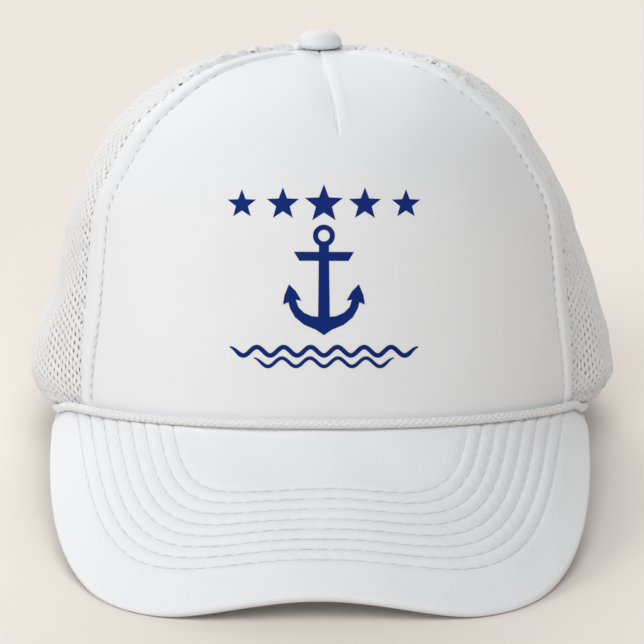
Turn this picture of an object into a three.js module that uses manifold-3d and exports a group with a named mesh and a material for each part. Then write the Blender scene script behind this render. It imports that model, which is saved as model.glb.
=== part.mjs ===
// A foam-front trucker hat: one padded front panel, four net panels, a stitched peak, a braided cord over
// the peak's seam, a covered top button, a sweatband and a snap strap across the arch at the back.
// Millimetres, +Z up, the front towards -Y. The hat is drawn with its rim level, and then set down on the
// lobes of its peak and the back corners of its rim, as it lies on a table.
import * as THREE from "three";
import { mergeVertices } from "three/addons/utils/BufferGeometryUtils.js";
import Module from "manifold-3d";

const wasm = await Module();
wasm.setup();

// Crown
const RIM_HALF_WIDTH = 93;
const RIM_FRONT_REACH = 98;
const RIM_BACK_REACH = 98;
const CROWN_HEIGHT = 121.5;
const CROWN_HOLE_RADIUS = 3.2;
const FRONT_ARCH = 9; // how far the curved peak lifts the middle of the rim
const FRONT_SQUARENESS = 2.15; // exponent of the front half's outline, 2 being an ellipse
const BACK_SQUARENESS = 2;
const NET_PUFF = 9; // how far the net bulges over its hem at the ears
const NET_PUFF_AT_BACK = 0.3; // share of that bulge left beside the back arch
const PUFF_TURN_START = 115; // degrees between which the bulge lessens to that share
const PUFF_TURN_END = 160;
const EAR_DROP = 1.3; // how far the hem sags at the ears
const EAR_FRONT_START = 60; // degrees between which that sag sets in, and fades behind the ears
const EAR_FRONT_END = 82;
const EAR_BACK_START = 95;
const EAR_BACK_END = 125;

// Sections from the rim up to the crown hole. Level is a share of the crown's height. Side, front and back
// are shares of the rim's reach that way, less the hole's radius. Puff is a share of the net's bulge, and seam
// is half the angle that the front panel takes, in degrees.
const SECTIONS = [
  { level: 0, side: 1, front: 1, back: 1, puff: 0.63, seam: 60.6 },
  { level: 0.03, side: 1.002, front: 1, back: 1.001, puff: 0.87, seam: 60.8 },
  { level: 0.08, side: 1.003, front: 0.999, back: 1.001, puff: 1.17, seam: 61 },
  { level: 0.15, side: 1.001, front: 0.997, back: 0.998, puff: 1.06, seam: 61.2 },
  { level: 0.23, side: 0.993, front: 0.992, back: 0.988, puff: 0.92, seam: 61.2 },
  { level: 0.34, side: 0.972, front: 0.982, back: 0.962, puff: 0.67, seam: 61.6 },
  { level: 0.47, side: 0.951, front: 0.96, back: 0.915, puff: 0.3, seam: 62.3 },
  { level: 0.6, side: 0.916, front: 0.925, back: 0.845, puff: 0, seam: 63.3 },
  { level: 0.72, side: 0.83, front: 0.858, back: 0.748, puff: 0, seam: 62.8 },
  { level: 0.82, side: 0.738, front: 0.757, back: 0.636, puff: 0, seam: 62.4 },
  { level: 0.9, side: 0.602, front: 0.62, back: 0.507, puff: 0, seam: 62.2 },
  { level: 0.955, side: 0.475, front: 0.462, back: 0.385, puff: 0, seam: 63.5 },
  { level: 0.985, side: 0.31, front: 0.285, back: 0.25, puff: 0, seam: 69 },
  { level: 1, side: 0, front: 0, back: 0, puff: 0, seam: 90 },
];
const TOP_ROW = SECTIONS.length - 1;
const ROW_COUNT = 19;
const FRONT_SHIFT = 3.6; // degrees by which the front panel is sewn towards +X

// Soft dents and swells in the slack net: angle and width in degrees, row and tall in sections, out in mm.
const NET_FOLDS = [
  { angle: -84, width: 9, row: 9.6, tall: 1.1, out: -1.5 },
  { angle: -108, width: 11, row: 8.2, tall: 1.6, out: 1.2 },
  { angle: -146, width: 12, row: 7.4, tall: 1.8, out: -1.6 },
  { angle: -86, width: 16, row: 4.9, tall: 1.5, out: -3.4 },
  { angle: -86, width: 16, row: 2, tall: 1.4, out: -0.9 },
  { angle: 82, width: 10, row: 8.6, tall: 1.4, out: -1.2 },
  { angle: 104, width: 12, row: 9.8, tall: 1.3, out: 1.1 },
  { angle: 148, width: 13, row: 8, tall: 1.8, out: -1.5 },
];

// Walls, and the clearance that sewn layers keep from each other
const GAP = 0.3;
const FOAM_THICKNESS = 3;
const NET_THICKNESS = 1.2;
const NET_SINK = 0.6; // how far the net lies below the foam panel's face
const BACK_SEAM_ANGLE = 121;
const NET_COLUMNS = 10;

// Front panel: the padded roll along its two seams, and the dart under the button
const ROLL_WIDTH = 6.5;
const ROLL_HEIGHT = 1;
const ROLL_LARGEST_SHARE = 0.4; // of half the panel's width, where the panel narrows to the top
const ROLL_PROFILE = [
  { across: 0, height: -0.8 },
  { across: 0.16, height: 0.5 },
  { across: 0.5, height: 1 },
  { across: 0.82, height: 0.4 },
  { across: 1, height: -0.6 },
  { across: 1.3, height: 0 },
];
const DART_ANGLE = 4.5;
const DART_DEPTH = 2.2;
const DART_WIDTH = 4;
const DART_END_ROW = 9.3;
const DART_FADE_ROWS = 2.6;
const DART_FADE_AT_BUTTON = 2; // beyond the button's edge, where the dart is at its full depth
const ROLL_FADE_START = 1; // beyond the button's edge, where the roll sets in and where it is full
const ROLL_FADE_END = 9;
const FRONT_COLUMNS_EACH_SIDE = 8;

// Peak
const PEAK_REACH = 52; // beyond the rim's front, seen from above
const PEAK_END_ANGLE = 75;
const PEAK_SIDE_OVERHANG = 1.8;
const PEAK_SQUARENESS = 3.5;
const PEAK_SLOPE_FRONT = 41;
const PEAK_SLOPE_SIDE = 43;
const PEAK_SLOPE_TURN = 25; // degrees from the front by which the side slope is reached
const PEAK_THICKNESS = 3.6;
const PEAK_ALLOWANCE = 2.6; // how far it reaches in under the crown
const PEAK_COLUMNS = 44;
const PEAK_ROWS = 5;

// Cord over the peak's seam. Its ends are tucked in between the hem and the peak, which dips to take them.
const CORD_RADIUS = 1.5;
const CORD_TUCK_START = 62; // degrees between which the cord goes under the hem
const CORD_TUCK_END = 73;
const CORD_TUCK_AWAY = 0.6; // beyond the rim, once it is under the hem
const CORD_STEPS = 40;
const CORD_SIDES = 8;

// Sweatband
const BAND_HEIGHT = 30;
const BAND_THICKNESS = 1.2;
const BAND_COLUMNS = 54;
const BAND_RISE = 0.6; // its lower edge above the hem, behind the peak
const BAND_TURN_HEIGHT = 4; // height in which it leaves the hem to pass behind the strap
const BAND_TURN_START = 20; // degrees before the strap's sewn ends between which it does so
const BAND_TURN_END = 6;
const BAND_STEP = 8; // degrees behind the peak's end in which it moves from the foam's line to the net's
const BAND_RISE_START = 8; // degrees before the peak's end between which its lower edge rises
const BAND_RISE_END = 1;

// Back arch, its binding and the seam tapes
const ARCH_HALF_WIDTH = 40;
const ARCH_HEIGHT = 48;
const BINDING_WIDTH = 5;
const BINDING_PROUD = 0.3;
const BINDING_DEPTH = 2.4;
const BINDING_COLUMNS = 24;
const TAPE_WIDTH = 14;
const TAPE_THICKNESS = 1;
const TAPE_FIRST_ROW = 2;
const TAPE_LARGEST_ANGLE = 20;
const TAPE_CLEAR_OF_BUTTON = 3;
const CUT_BELOW = 20; // how far the arch's cutter reaches below the rim

// Snap strap
const STRAP_HEIGHT = 16;
const STRAP_THICKNESS = 1.2;
const STRAP_RISE = 5;
const STRAP_PLAY = 0.4; // between the two halves
const STRAP_ANCHOR = 20; // length of each half behind the net
const STRAP_COLUMNS = 20;
const PEG_PITCH = 9.5;
const PEG_COUNT = 6;
const PEGS_FASTENED = 4;
const PEG_RADIUS = 2.2;
const PEG_PROUD = 1;
const HOLE_RADIUS = 2.6;
const TIP_CLEARANCE = 0.8; // from a half's round tip to the next peg or hole
const PEG_SIDES = 12;

// Top button
const BUTTON_RADIUS = 7.9;
const BUTTON_DOME = 5.8;
const BUTTON_EDGE_HEIGHT = 0.8;
const BUTTON_EDGE_INSET = 0.6;
const BUTTON_STEM_RADIUS = 2;
const BUTTON_BACK_RADIUS = 5;
const BUTTON_BACK_THICKNESS = 1;
const BUTTON_SIDES = 20;
const DOME_STEPS = 5;

// How deep the soft edges are pressed flat where the hat lies
const REST_PRESS = 0.9;

// Steps in which a place is halved until it is found
const HALVINGS = 40;

const WHITE_FOAM = 0xededec;
const WHITE_NET = 0xe6e7e7;
const WHITE_CLOTH = 0xf1f1f0;
const WHITE_CORD = 0xf7f7f6;
const WHITE_PLASTIC = 0xf3f3f1;

const radians = THREE.MathUtils.degToRad;
const degrees = THREE.MathUtils.radToDeg;
const { lerp, smoothstep, clamp } = THREE.MathUtils;

// A column of a table at a fractional row, on a smooth curve through the rows.
function column(table, name, row) {
  const last = table.length - 1;
  const first = clamp(Math.floor(row), 0, last - 1);
  const t = clamp(row - first, 0, 1);
  const at = (i) => table[clamp(i, 0, last)][name];
  const [a, b, c, d] = [at(first - 1), at(first), at(first + 1), at(first + 2)];
  return b + 0.5 * t * (c - a + t * (2 * a - 5 * b + 4 * c - d + t * (3 * (b - c) + d - a)));
}

const section = (name, row) => column(SECTIONS, name, row);

// Height of the hem over the level rim plane: raised in the middle of the front by the peak's curve, and
// sagging at the ears.
function hemHeight(angle) {
  const off = Math.abs(angle);
  const ahead = smoothstep(off, EAR_FRONT_START, EAR_FRONT_END);
  const behind = 1 - smoothstep(off, EAR_BACK_START, EAR_BACK_END);
  return FRONT_ARCH * Math.max(Math.cos(radians(angle)), 0) - EAR_DROP * ahead * behind;
}

// Angle of a seam of the front panel by row, for side -1 or 1.
const frontSeam = (side) => (row) => side * section("seam", row) + FRONT_SHIFT;

// Share of the net's bulge at an angle: none at the front seam, full at the ears, little at the back.
function puffShare(angle, row) {
  const off = Math.abs(angle);
  const rise = smoothstep(off, Math.abs(frontSeam(Math.sign(angle))(row)), 90);
  return rise * lerp(1, NET_PUFF_AT_BACK, smoothstep(off, PUFF_TURN_START, PUFF_TURN_END));
}

function foldHeight(angle, row) {
  const swell = (fold) =>
    fold.out * Math.exp(-(((angle - fold.angle) / fold.width) ** 2) - ((row - fold.row) / fold.tall) ** 2);
  return NET_FOLDS.reduce((sum, fold) => sum + swell(fold), 0);
}

// Distance from the crown's axis to its face, without the net's bulge. Angles are in degrees from the front,
// positive towards +X.
function smoothReach(angle, row) {
  const front = Math.abs(angle) < 90;
  const rim = front ? RIM_FRONT_REACH : RIM_BACK_REACH;
  const reachOf = (size, share) => CROWN_HOLE_RADIUS + (size - CROWN_HOLE_RADIUS) * share;
  const side = reachOf(RIM_HALF_WIDTH, section("side", row));
  const along = reachOf(rim, section(front ? "front" : "back", row));
  const power = front ? FRONT_SQUARENESS : BACK_SQUARENESS;
  const across = Math.abs(Math.sin(radians(angle)) / side) ** power;
  const forward = Math.abs(Math.cos(radians(angle)) / along) ** power;
  return (across + forward) ** (-1 / power);
}

function crownReach(angle, row) {
  return smoothReach(angle, row) + NET_PUFF * section("puff", row) * puffShare(angle, row);
}

function polar(angle, reach, height) {
  return new THREE.Vector3(reach * Math.sin(radians(angle)), -reach * Math.cos(radians(angle)), height);
}

function crownBase(angle, row) {
  const hem = hemHeight(angle);
  return polar(angle, crownReach(angle, row), lerp(hem, CROWN_HEIGHT, section("level", row)));
}

function crownNormal(angle, row) {
  const step = 0.05;
  const across = crownBase(angle + step, row).sub(crownBase(angle - step, row));
  const above = Math.min(row + step, TOP_ROW);
  const up = crownBase(angle, above).sub(crownBase(angle, above - 2 * step));
  return across.cross(up).normalize();
}

// A point a given distance outside the crown's face, or inside it if that is negative.
function crownPoint(angle, row, out) {
  return crownBase(angle, row).addScaledVector(crownNormal(angle, row), out);
}

// The row at a height over the level rim plane.
function rowAtHeight(height, angle) {
  let [low, high] = [0, TOP_ROW];
  for (let i = 0; i < HALVINGS; i++) {
    const middle = (low + high) / 2;
    if (crownBase(angle, middle).z < height) low = middle;
    else high = middle;
  }
  return low;
}

// The angle in degrees that an arc length takes on the crown at a row.
const arcAngle = (length, angle, row) => degrees(length / crownReach(angle, row));

// A closed solid through loops of equally many points. Each loop is a wall: its first half runs along one
// face and its second half comes back along the other, so its end is closed like a ladder.
function loft(loops) {
  const size = loops[0].length;
  const positions = loops.flat().flatMap((p) => [p.x, p.y, p.z]);
  const index = [];
  for (let k = 0; k + 1 < loops.length; k++)
    for (let i = 0; i < size; i++) {
      const next = (i + 1) % size;
      const [a, b] = [k * size + i, k * size + next];
      index.push(a, b, b + size, a, b + size, a + size);
    }
  const last = (loops.length - 1) * size;
  for (let i = 0; i + 1 < size / 2; i++) {
    const [a, b, c, d] = [i, i + 1, size - 2 - i, size - 1 - i];
    index.push(a, c, b, a, d, c);
    index.push(last + a, last + b, last + c, last + a, last + c, last + d);
  }
  return facingOut(positions, index);
}

function facingOut(positions, index) {
  const corner = (i) => new THREE.Vector3().fromArray(positions, 3 * i);
  let volume = 0;
  for (let i = 0; i < index.length; i += 3)
    volume += corner(index[i]).dot(corner(index[i + 1]).cross(corner(index[i + 2])));
  if (volume < 0) index.reverse();
  const geometry = new THREE.BufferGeometry();
  geometry.setAttribute("position", new THREE.Float32BufferAttribute(positions, 3));
  geometry.setIndex(index);
  return geometry;
}

// A geometry as a solid that can be joined and cut, and back.
function solid(geometry) {
  const bare = geometry.clone();
  bare.deleteAttribute("normal");
  bare.deleteAttribute("uv");
  const merged = mergeVertices(bare, 1e-4);
  return new wasm.Manifold(
    new wasm.Mesh({
      numProp: 3,
      vertProperties: new Float32Array(merged.attributes.position.array),
      triVerts: new Uint32Array(merged.index.array),
    }),
  );
}

function geometryOf(manifold) {
  const mesh = manifold.getMesh();
  const geometry = new THREE.BufferGeometry();
  geometry.setAttribute("position", new THREE.BufferAttribute(mesh.vertProperties, mesh.numProp));
  geometry.setIndex(new THREE.BufferAttribute(mesh.triVerts, 1));
  return geometry;
}

// Evenly spaced numbers from first to last, both included.
function spread(first, last, steps) {
  return Array.from({ length: steps + 1 }, (_, i) => lerp(first, last, i / steps));
}

const CROWN_ROWS = spread(0, TOP_ROW, ROW_COUNT);

// A wall on the crown between rows, from its columns: each gives an angle, and how far each face lies out.
function crownWall(columns, rows = CROWN_ROWS) {
  const face = (side, wall) => rows.map((row) => crownPoint(wall.angle(row), row, wall[side](row)));
  return loft(columns.map((wall) => [...face("outer", wall), ...face("inner", wall).reverse()]));
}

// How deep the sewn dart draws the foam in, at an arc distance from the dart's line.
function dartDepth(distance, row) {
  const along = smoothstep(row, DART_END_ROW, DART_END_ROW + DART_FADE_ROWS);
  const reach = crownReach(DART_ANGLE, row);
  const underButton = smoothstep(reach, BUTTON_BACK_RADIUS, BUTTON_RADIUS + DART_FADE_AT_BUTTON);
  return DART_DEPTH * along * underButton * Math.exp(-Math.abs(distance) / DART_WIDTH);
}

// The roll fades out under the cord and under the button.
function rollFade(row) {
  const reach = crownReach(0, row);
  const beyondButton = smoothstep(reach, BUTTON_RADIUS + ROLL_FADE_START, BUTTON_RADIUS + ROLL_FADE_END);
  return smoothstep(row, 0, 1) * beyondButton;
}

// One column of the front panel: side is -1 or 1, and share runs from 0 at the dart to 1 at the start of the
// roll, or roll picks a row of the roll's profile.
function frontColumn(side, share, roll) {
  const seam = frontSeam(side);
  const halfWidth = (row) => side * (seam(row) - DART_ANGLE);
  const seamGap = (row) => arcAngle(GAP / 2, seam(row), row);
  const widest = ROLL_PROFILE.at(-1).across;
  const rollWidth = (row) =>
    Math.min(arcAngle(ROLL_WIDTH, seam(row), row), halfWidth(row) * ROLL_LARGEST_SHARE);
  const offset = (row) => {
    const inside = roll ? roll.across * rollWidth(row) : lerp(halfWidth(row), widest * rollWidth(row), share);
    return halfWidth(row) - inside - (roll && roll.across === 0 ? seamGap(row) : 0);
  };
  const angle = (row) => DART_ANGLE + side * offset(row);
  const swell = (row) => (roll ? ROLL_HEIGHT * roll.height * rollFade(row) : 0);
  const drawn = (row) => dartDepth(radians(offset(row)) * crownReach(angle(row), row), row);
  return {
    angle,
    outer: (row) => swell(row) - drawn(row),
    inner: (row) => -FOAM_THICKNESS - drawn(row),
  };
}

function frontPanel() {
  const half = (side) => [
    ...ROLL_PROFILE.slice(0, -1).map((roll) => frontColumn(side, 1, roll)),
    ...spread(1, 0, FRONT_COLUMNS_EACH_SIDE).map((share) => frontColumn(side, share)),
  ];
  return crownWall([...half(-1), ...half(1).reverse().slice(1)]);
}

// A net panel between two seams, each an angle by row. Its far edges keep half a gap from the seams.
function netPanel(from, to) {
  const edge = (seam, way) => (row) => seam(row) + way * arcAngle(GAP / 2, seam(row), row);
  const [first, last] = [edge(from, 1), edge(to, -1)];
  const wall = (share) => {
    const angle = (row) => lerp(first(row), last(row), share);
    const slack = (row) => foldHeight(angle(row), row) * Math.sin(Math.PI * share) ** 0.5;
    return {
      angle,
      outer: (row) => slack(row) - NET_SINK,
      inner: (row) => slack(row) - NET_SINK - NET_THICKNESS,
    };
  };
  return crownWall(spread(0, 1, NET_COLUMNS).map(wall));
}

const backSeam = (side) => () => side * BACK_SEAM_ANGLE;
const centreSeam = (side) => () => side * 180;

function sidePanel(side) {
  const seams = [frontSeam(side), backSeam(side)];
  return side > 0 ? netPanel(seams[0], seams[1]) : netPanel(seams[1], seams[0]);
}

function backPanel(side) {
  const seams = [backSeam(side), centreSeam(side)];
  const whole = side > 0 ? netPanel(seams[0], seams[1]) : netPanel(seams[1], seams[0]);
  const cutter = archCutter(BINDING_WIDTH + GAP);
  return geometryOf(solid(whole).subtract(solid(cutter)));
}

// A point of the back arch's edge, and of the line a width outside it, seen from behind: x and z.
function archPoint(turn, width) {
  const [x, z] = [ARCH_HALF_WIDTH * Math.cos(turn), ARCH_HEIGHT * Math.sin(turn)];
  const normal = new THREE.Vector2(x / ARCH_HALF_WIDTH ** 2, z / ARCH_HEIGHT ** 2).normalize();
  return new THREE.Vector2(x, z).addScaledVector(normal, width);
}

function archCutter(width) {
  const outline = spread(0, Math.PI, BINDING_COLUMNS).map((turn) => archPoint(turn, width));
  const edge = ARCH_HALF_WIDTH + width;
  const foot = [new THREE.Vector2(-edge, -CUT_BELOW), new THREE.Vector2(edge, -CUT_BELOW)];
  const shape = new THREE.Shape([...outline, ...foot]);
  const [near, far] = [RIM_BACK_REACH / 2, RIM_BACK_REACH * 1.5];
  const prism = new THREE.ExtrudeGeometry(shape, { depth: far - near, bevelEnabled: false });
  return prism.rotateX(Math.PI / 2).translate(0, far, 0);
}

// The crown's back face over a point seen from behind.
function backFace(point) {
  let [low, high] = [90, 180];
  for (let i = 0; i < HALVINGS; i++) {
    const middle = (low + high) / 2;
    const row = rowAtHeight(point.y, middle);
    if (crownBase(middle, row).x > Math.abs(point.x)) low = middle;
    else high = middle;
  }
  return crownBase(low, rowAtHeight(point.y, low)).y;
}

function archBinding() {
  const corner = (point, out) => new THREE.Vector3(point.x, backFace(point) + out, point.y);
  return loft(
    spread(0, Math.PI, BINDING_COLUMNS).map((turn) => {
      const [edge, far] = [archPoint(turn, 0), archPoint(turn, BINDING_WIDTH)];
      return [
        corner(edge, BINDING_PROUD),
        corner(far, BINDING_PROUD),
        corner(far, -BINDING_DEPTH),
        corner(edge, -BINDING_DEPTH),
      ];
    }),
  );
}

// A tape sewn inside over the seam between two net panels.
function seamTape(angle, firstRow) {
  const nearest = NET_SINK + NET_THICKNESS + GAP;
  const clearOfButton = BUTTON_BACK_RADIUS + TAPE_CLEAR_OF_BUTTON;
  const rows = CROWN_ROWS.filter((row) => row >= firstRow && crownReach(angle, row) > clearOfButton);
  return loft(
    rows.map((row) => {
      const reach = crownReach(angle, row);
      const half = Math.min(degrees(TAPE_WIDTH / 2 / reach), TAPE_LARGEST_ANGLE);
      const across = [angle - half, angle, angle + half];
      const face = (depth) => across.map((a) => crownPoint(a, row, -depth));
      return [...face(nearest), ...face(nearest + TAPE_THICKNESS).reverse()];
    }),
  );
}

// Outline of the peak seen from above, a rounded rectangle, by its turn from the front: the angle from the
// front, and the reach from the crown's axis.
function peakOutline(turn) {
  const end = polar(PEAK_END_ANGLE, smoothReach(PEAK_END_ANGLE, 0), 0);
  const halfWidth = end.x + PEAK_SIDE_OVERHANG;
  const length = RIM_FRONT_REACH + PEAK_REACH + end.y;
  const power = 2 / PEAK_SQUARENESS;
  const x = halfWidth * Math.sign(turn) * Math.abs(Math.sin(turn)) ** power;
  const forward = length * Math.abs(Math.cos(turn)) ** power - end.y;
  return { angle: degrees(Math.atan2(x, forward)), reach: Math.hypot(x, forward) };
}

function peakSlope(angle) {
  const turn = smoothstep(Math.abs(angle), 0, PEAK_SLOPE_TURN);
  return radians(lerp(PEAK_SLOPE_FRONT, PEAK_SLOPE_SIDE, turn));
}

// Share by which the cord is tucked in under the hem.
const tuck = (angle) => smoothstep(Math.abs(angle), CORD_TUCK_START, CORD_TUCK_END);

// The peak's cut along one radius: a flat seam allowance under the crown, the sloping board and a round edge.
function peakLoop(turn) {
  const { angle, reach } = peakOutline(turn);
  const rim = smoothReach(angle, 0);
  const slope = peakSlope(angle);
  const dip = (2 * CORD_RADIUS + GAP) * tuck(angle);
  const top = hemHeight(angle) - GAP - dip;
  const half = PEAK_THICKNESS / 2;
  const length = (reach - rim) / Math.cos(slope) - half;
  const at = (along, out) => {
    const ahead = along * Math.cos(slope) + out * Math.sin(slope);
    return polar(angle, rim + ahead, top - along * Math.sin(slope) + out * Math.cos(slope));
  };
  const mitre = -PEAK_THICKNESS * Math.tan(slope / 2);
  const nose = (lean) => at(length + half * Math.cos(lean), -half + half * Math.sin(lean));
  const inner = rim - PEAK_ALLOWANCE;
  const along = spread(0, length, PEAK_ROWS);
  return [
    polar(angle, inner, top),
    ...along.map((s) => at(s, 0)),
    nose(Math.PI / 6),
    nose(-Math.PI / 6),
    ...along.toReversed().map((s) => at(s + mitre * (1 - s / length), -PEAK_THICKNESS)),
    polar(angle, inner, top - PEAK_THICKNESS),
  ];
}

function peak() {
  return loft(spread(-Math.PI / 2, Math.PI / 2, PEAK_COLUMNS).map(peakLoop));
}

// The cord lies in the crease, against the crown and on the peak, and its ends under the hem.
function cordPoint(angle) {
  const clear = CORD_RADIUS + GAP;
  const top = rowAtHeight(hemHeight(angle) + clear + CORD_RADIUS / 2, angle);
  const rim = smoothReach(angle, 0);
  const away = Math.max(rim, crownReach(angle, top)) + clear - rim;
  const slope = peakSlope(angle);
  const lift = (clear - away * Math.sin(slope)) / Math.cos(slope) - GAP;
  const share = tuck(angle);
  return polar(angle, rim + lerp(away, CORD_TUCK_AWAY, share), hemHeight(angle) + lerp(lift, -clear, share));
}

function cord() {
  const path = new THREE.CatmullRomCurve3(spread(-PEAK_END_ANGLE, PEAK_END_ANGLE, CORD_STEPS).map(cordPoint));
  const corner = (i) => (2 * Math.PI * i) / CORD_SIDES;
  const ring = Array.from(
    { length: CORD_SIDES },
    (_, i) => new THREE.Vector2(Math.cos(corner(i)), Math.sin(corner(i))).multiplyScalar(CORD_RADIUS),
  );
  return new THREE.ExtrudeGeometry(new THREE.Shape(ring), { steps: CORD_STEPS, extrudePath: path });
}

// Depths behind the crown's face at the hem: the outer strap half, the inner one and the band behind both.
const OUTER_STRAP_DEPTH = BINDING_DEPTH + 2 * GAP;
const INNER_STRAP_DEPTH = OUTER_STRAP_DEPTH + STRAP_THICKNESS + STRAP_PLAY;
const POCKET_DEPTH = INNER_STRAP_DEPTH + STRAP_THICKNESS + GAP;

// The band lies against the foam, then against the net, and leaves room for the strap's sewn ends.
function bandDepth(angle, height) {
  const off = Math.abs(angle);
  const onNet = NET_SINK + NET_THICKNESS + GAP;
  const onFoam = FOAM_THICKNESS + GAP;
  const atHem = lerp(onFoam, onNet, smoothstep(off, PEAK_END_ANGLE, PEAK_END_ANGLE + BAND_STEP));
  const strapEnd = 180 - degrees((ARCH_HALF_WIDTH + STRAP_ANCHOR) / RIM_BACK_REACH);
  const turned = smoothstep(off, strapEnd - BAND_TURN_START, strapEnd - BAND_TURN_END);
  const pocket = lerp(onNet, POCKET_DEPTH, turned);
  return Math.max(atHem, lerp(atHem, pocket, smoothstep(height, 0, BAND_TURN_HEIGHT)));
}

function sweatband() {
  const end = 180 - degrees(Math.asin(ARCH_HALF_WIDTH / RIM_BACK_REACH));
  const [riseStart, riseEnd] = [PEAK_END_ANGLE - BAND_RISE_START, PEAK_END_ANGLE - BAND_RISE_END];
  const behindPeak = (angle) => 1 - smoothstep(Math.abs(angle), riseStart, riseEnd);
  return loft(
    spread(-end, end, BAND_COLUMNS).map((angle) => {
      const bottom = lerp(BAND_RISE, -PEAK_THICKNESS, behindPeak(angle));
      const heights = [bottom, BAND_TURN_HEIGHT / 2, BAND_TURN_HEIGHT, BAND_HEIGHT];
      const at = (height, inward) => {
        const row = rowAtHeight(hemHeight(angle) + height, angle);
        const reach = smoothReach(angle, row) - bandDepth(angle, height);
        return polar(angle, reach - inward, hemHeight(angle) + height);
      };
      const face = (inward) => heights.map((height) => at(height, inward));
      return [...face(0), ...face(BAND_THICKNESS).reverse()];
    }),
  );
}

// A point of the strap: length along it from the middle of the back, height over the hem, depth in the wall.
function strapPoint(length, height, depth) {
  const angle = 180 - degrees(length / RIM_BACK_REACH);
  return polar(angle, crownReach(angle, 0) - depth, height);
}

// One half of the strap, from its sewn end to its round tip. Side is that of the sewn end.
function strapHalf(side, depth) {
  const sewn = ARCH_HALF_WIDTH + STRAP_ANCHOR;
  const tip = PEG_PITCH * (PEGS_FASTENED + 1) * 0.5 - HOLE_RADIUS - TIP_CLEARANCE;
  const half = STRAP_HEIGHT / 2;
  return loft(
    spread(sewn, -tip, STRAP_COLUMNS).map((length) => {
      const intoTip = clamp((half - (length + tip)) / half, 0, 0.9);
      const tall = half * Math.sqrt(1 - intoTip ** 2);
      const middle = STRAP_RISE + half;
      const at = (height, inward) => strapPoint(side * length, height, depth + inward);
      return [
        at(middle - tall, 0),
        at(middle + tall, 0),
        at(middle + tall, STRAP_THICKNESS),
        at(middle - tall, STRAP_THICKNESS),
      ];
    }),
  );
}

// A round pin across the strap's wall at a peg's place, from one depth to another.
function strapPin(length, radius, near, far) {
  const height = STRAP_RISE + STRAP_HEIGHT / 2;
  const [from, to] = [strapPoint(length, height, near), strapPoint(length, height, far)];
  const pin = new THREE.CylinderGeometry(radius, radius, from.distanceTo(to), PEG_SIDES);
  const along = to.clone().sub(from).normalize();
  const turn = new THREE.Quaternion().setFromUnitVectors(new THREE.Vector3(0, 1, 0), along);
  return pin.applyQuaternion(turn).translate(...from.add(to).multiplyScalar(0.5).toArray());
}

// Places of the pegs, or of the holes on the other half, from the free tip towards the sewn end.
function pegPlaces(side) {
  const first = -PEG_PITCH * (PEGS_FASTENED - 1) * 0.5;
  return Array.from({ length: PEG_COUNT }, (_, i) => side * (first + i * PEG_PITCH));
}

function strapWithHoles(side) {
  const through = 1;
  const hole = (length) =>
    strapPin(length, HOLE_RADIUS, OUTER_STRAP_DEPTH - through, OUTER_STRAP_DEPTH + STRAP_THICKNESS + through);
  const strip = solid(strapHalf(side, OUTER_STRAP_DEPTH));
  return geometryOf(pegPlaces(side).reduce((rest, length) => rest.subtract(solid(hole(length))), strip));
}

function strapWithPegs(side) {
  const bite = STRAP_THICKNESS / 2;
  const peg = (length) =>
    strapPin(length, PEG_RADIUS, OUTER_STRAP_DEPTH - PEG_PROUD, INNER_STRAP_DEPTH + bite);
  const strip = solid(strapHalf(side, INNER_STRAP_DEPTH));
  return geometryOf(pegPlaces(side).reduce((whole, length) => whole.add(solid(peg(length))), strip));
}

// A covered button: a dome on the crown, and a stem through the crown hole to a flat back inside.
function topButton() {
  const under = CROWN_HEIGHT + GAP;
  const backTop = CROWN_HEIGHT - FOAM_THICKNESS - 2 * GAP;
  const backFoot = backTop - BUTTON_BACK_THICKNESS;
  const edge = under + BUTTON_EDGE_HEIGHT;
  const rise = BUTTON_DOME - BUTTON_EDGE_HEIGHT;
  const dome = spread(0, Math.PI / 2, DOME_STEPS).map(
    (lean) => new THREE.Vector2(BUTTON_RADIUS * Math.cos(lean), edge + rise * Math.sin(lean)),
  );
  dome[DOME_STEPS].x = 0;
  const profile = [
    new THREE.Vector2(0, backFoot),
    new THREE.Vector2(BUTTON_BACK_RADIUS, backFoot),
    new THREE.Vector2(BUTTON_BACK_RADIUS, backTop),
    new THREE.Vector2(BUTTON_STEM_RADIUS, backTop),
    new THREE.Vector2(BUTTON_STEM_RADIUS, under),
    new THREE.Vector2(BUTTON_RADIUS - BUTTON_EDGE_INSET, under),
    ...dome,
  ];
  return new THREE.LatheGeometry(profile, BUTTON_SIDES).rotateX(Math.PI / 2);
}

// The hat's soft feet while its rim is level: the peak's lower edge, and the hem from the arch to the ears.
function feet() {
  const edge = spread(-Math.PI / 2, Math.PI / 2, PEAK_COLUMNS).flatMap((turn) => peakLoop(turn));
  const corner = 180 - degrees(Math.asin((ARCH_HALF_WIDTH + BINDING_WIDTH) / RIM_BACK_REACH));
  const hem = spread(90, corner, PEAK_COLUMNS).map((angle) => crownBase(angle, 0));
  return { edge, hem };
}

// Leans the hat back until its peak and the back of its hem lie on one floor, and gives the lean and lift.
function restingPlace() {
  const { edge, hem } = feet();
  const lowest = (points, lean) =>
    Math.min(...points.map((p) => p.z * Math.cos(lean) - p.y * Math.sin(lean)));
  let [low, high] = [radians(-10), radians(40)];
  for (let i = 0; i < HALVINGS; i++) {
    const middle = (low + high) / 2;
    if (lowest(edge, middle) < lowest(hem, middle)) low = middle;
    else high = middle;
  }
  return { lean: low, lift: -lowest(edge, low) - REST_PRESS };
}

const REST = restingPlace();

// Sets a piece down: leaned back, lifted on to the floor, and pressed flat where it would reach below it.
function settle(geometry) {
  geometry.rotateX(-REST.lean).translate(0, 0, REST.lift);
  const place = geometry.attributes.position;
  for (let i = 0; i < place.count; i++) place.setZ(i, Math.max(place.getZ(i), 0));
  return geometry;
}

function material(color, roughness) {
  return new THREE.MeshStandardMaterial({ color, roughness, metalness: 0 });
}

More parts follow.
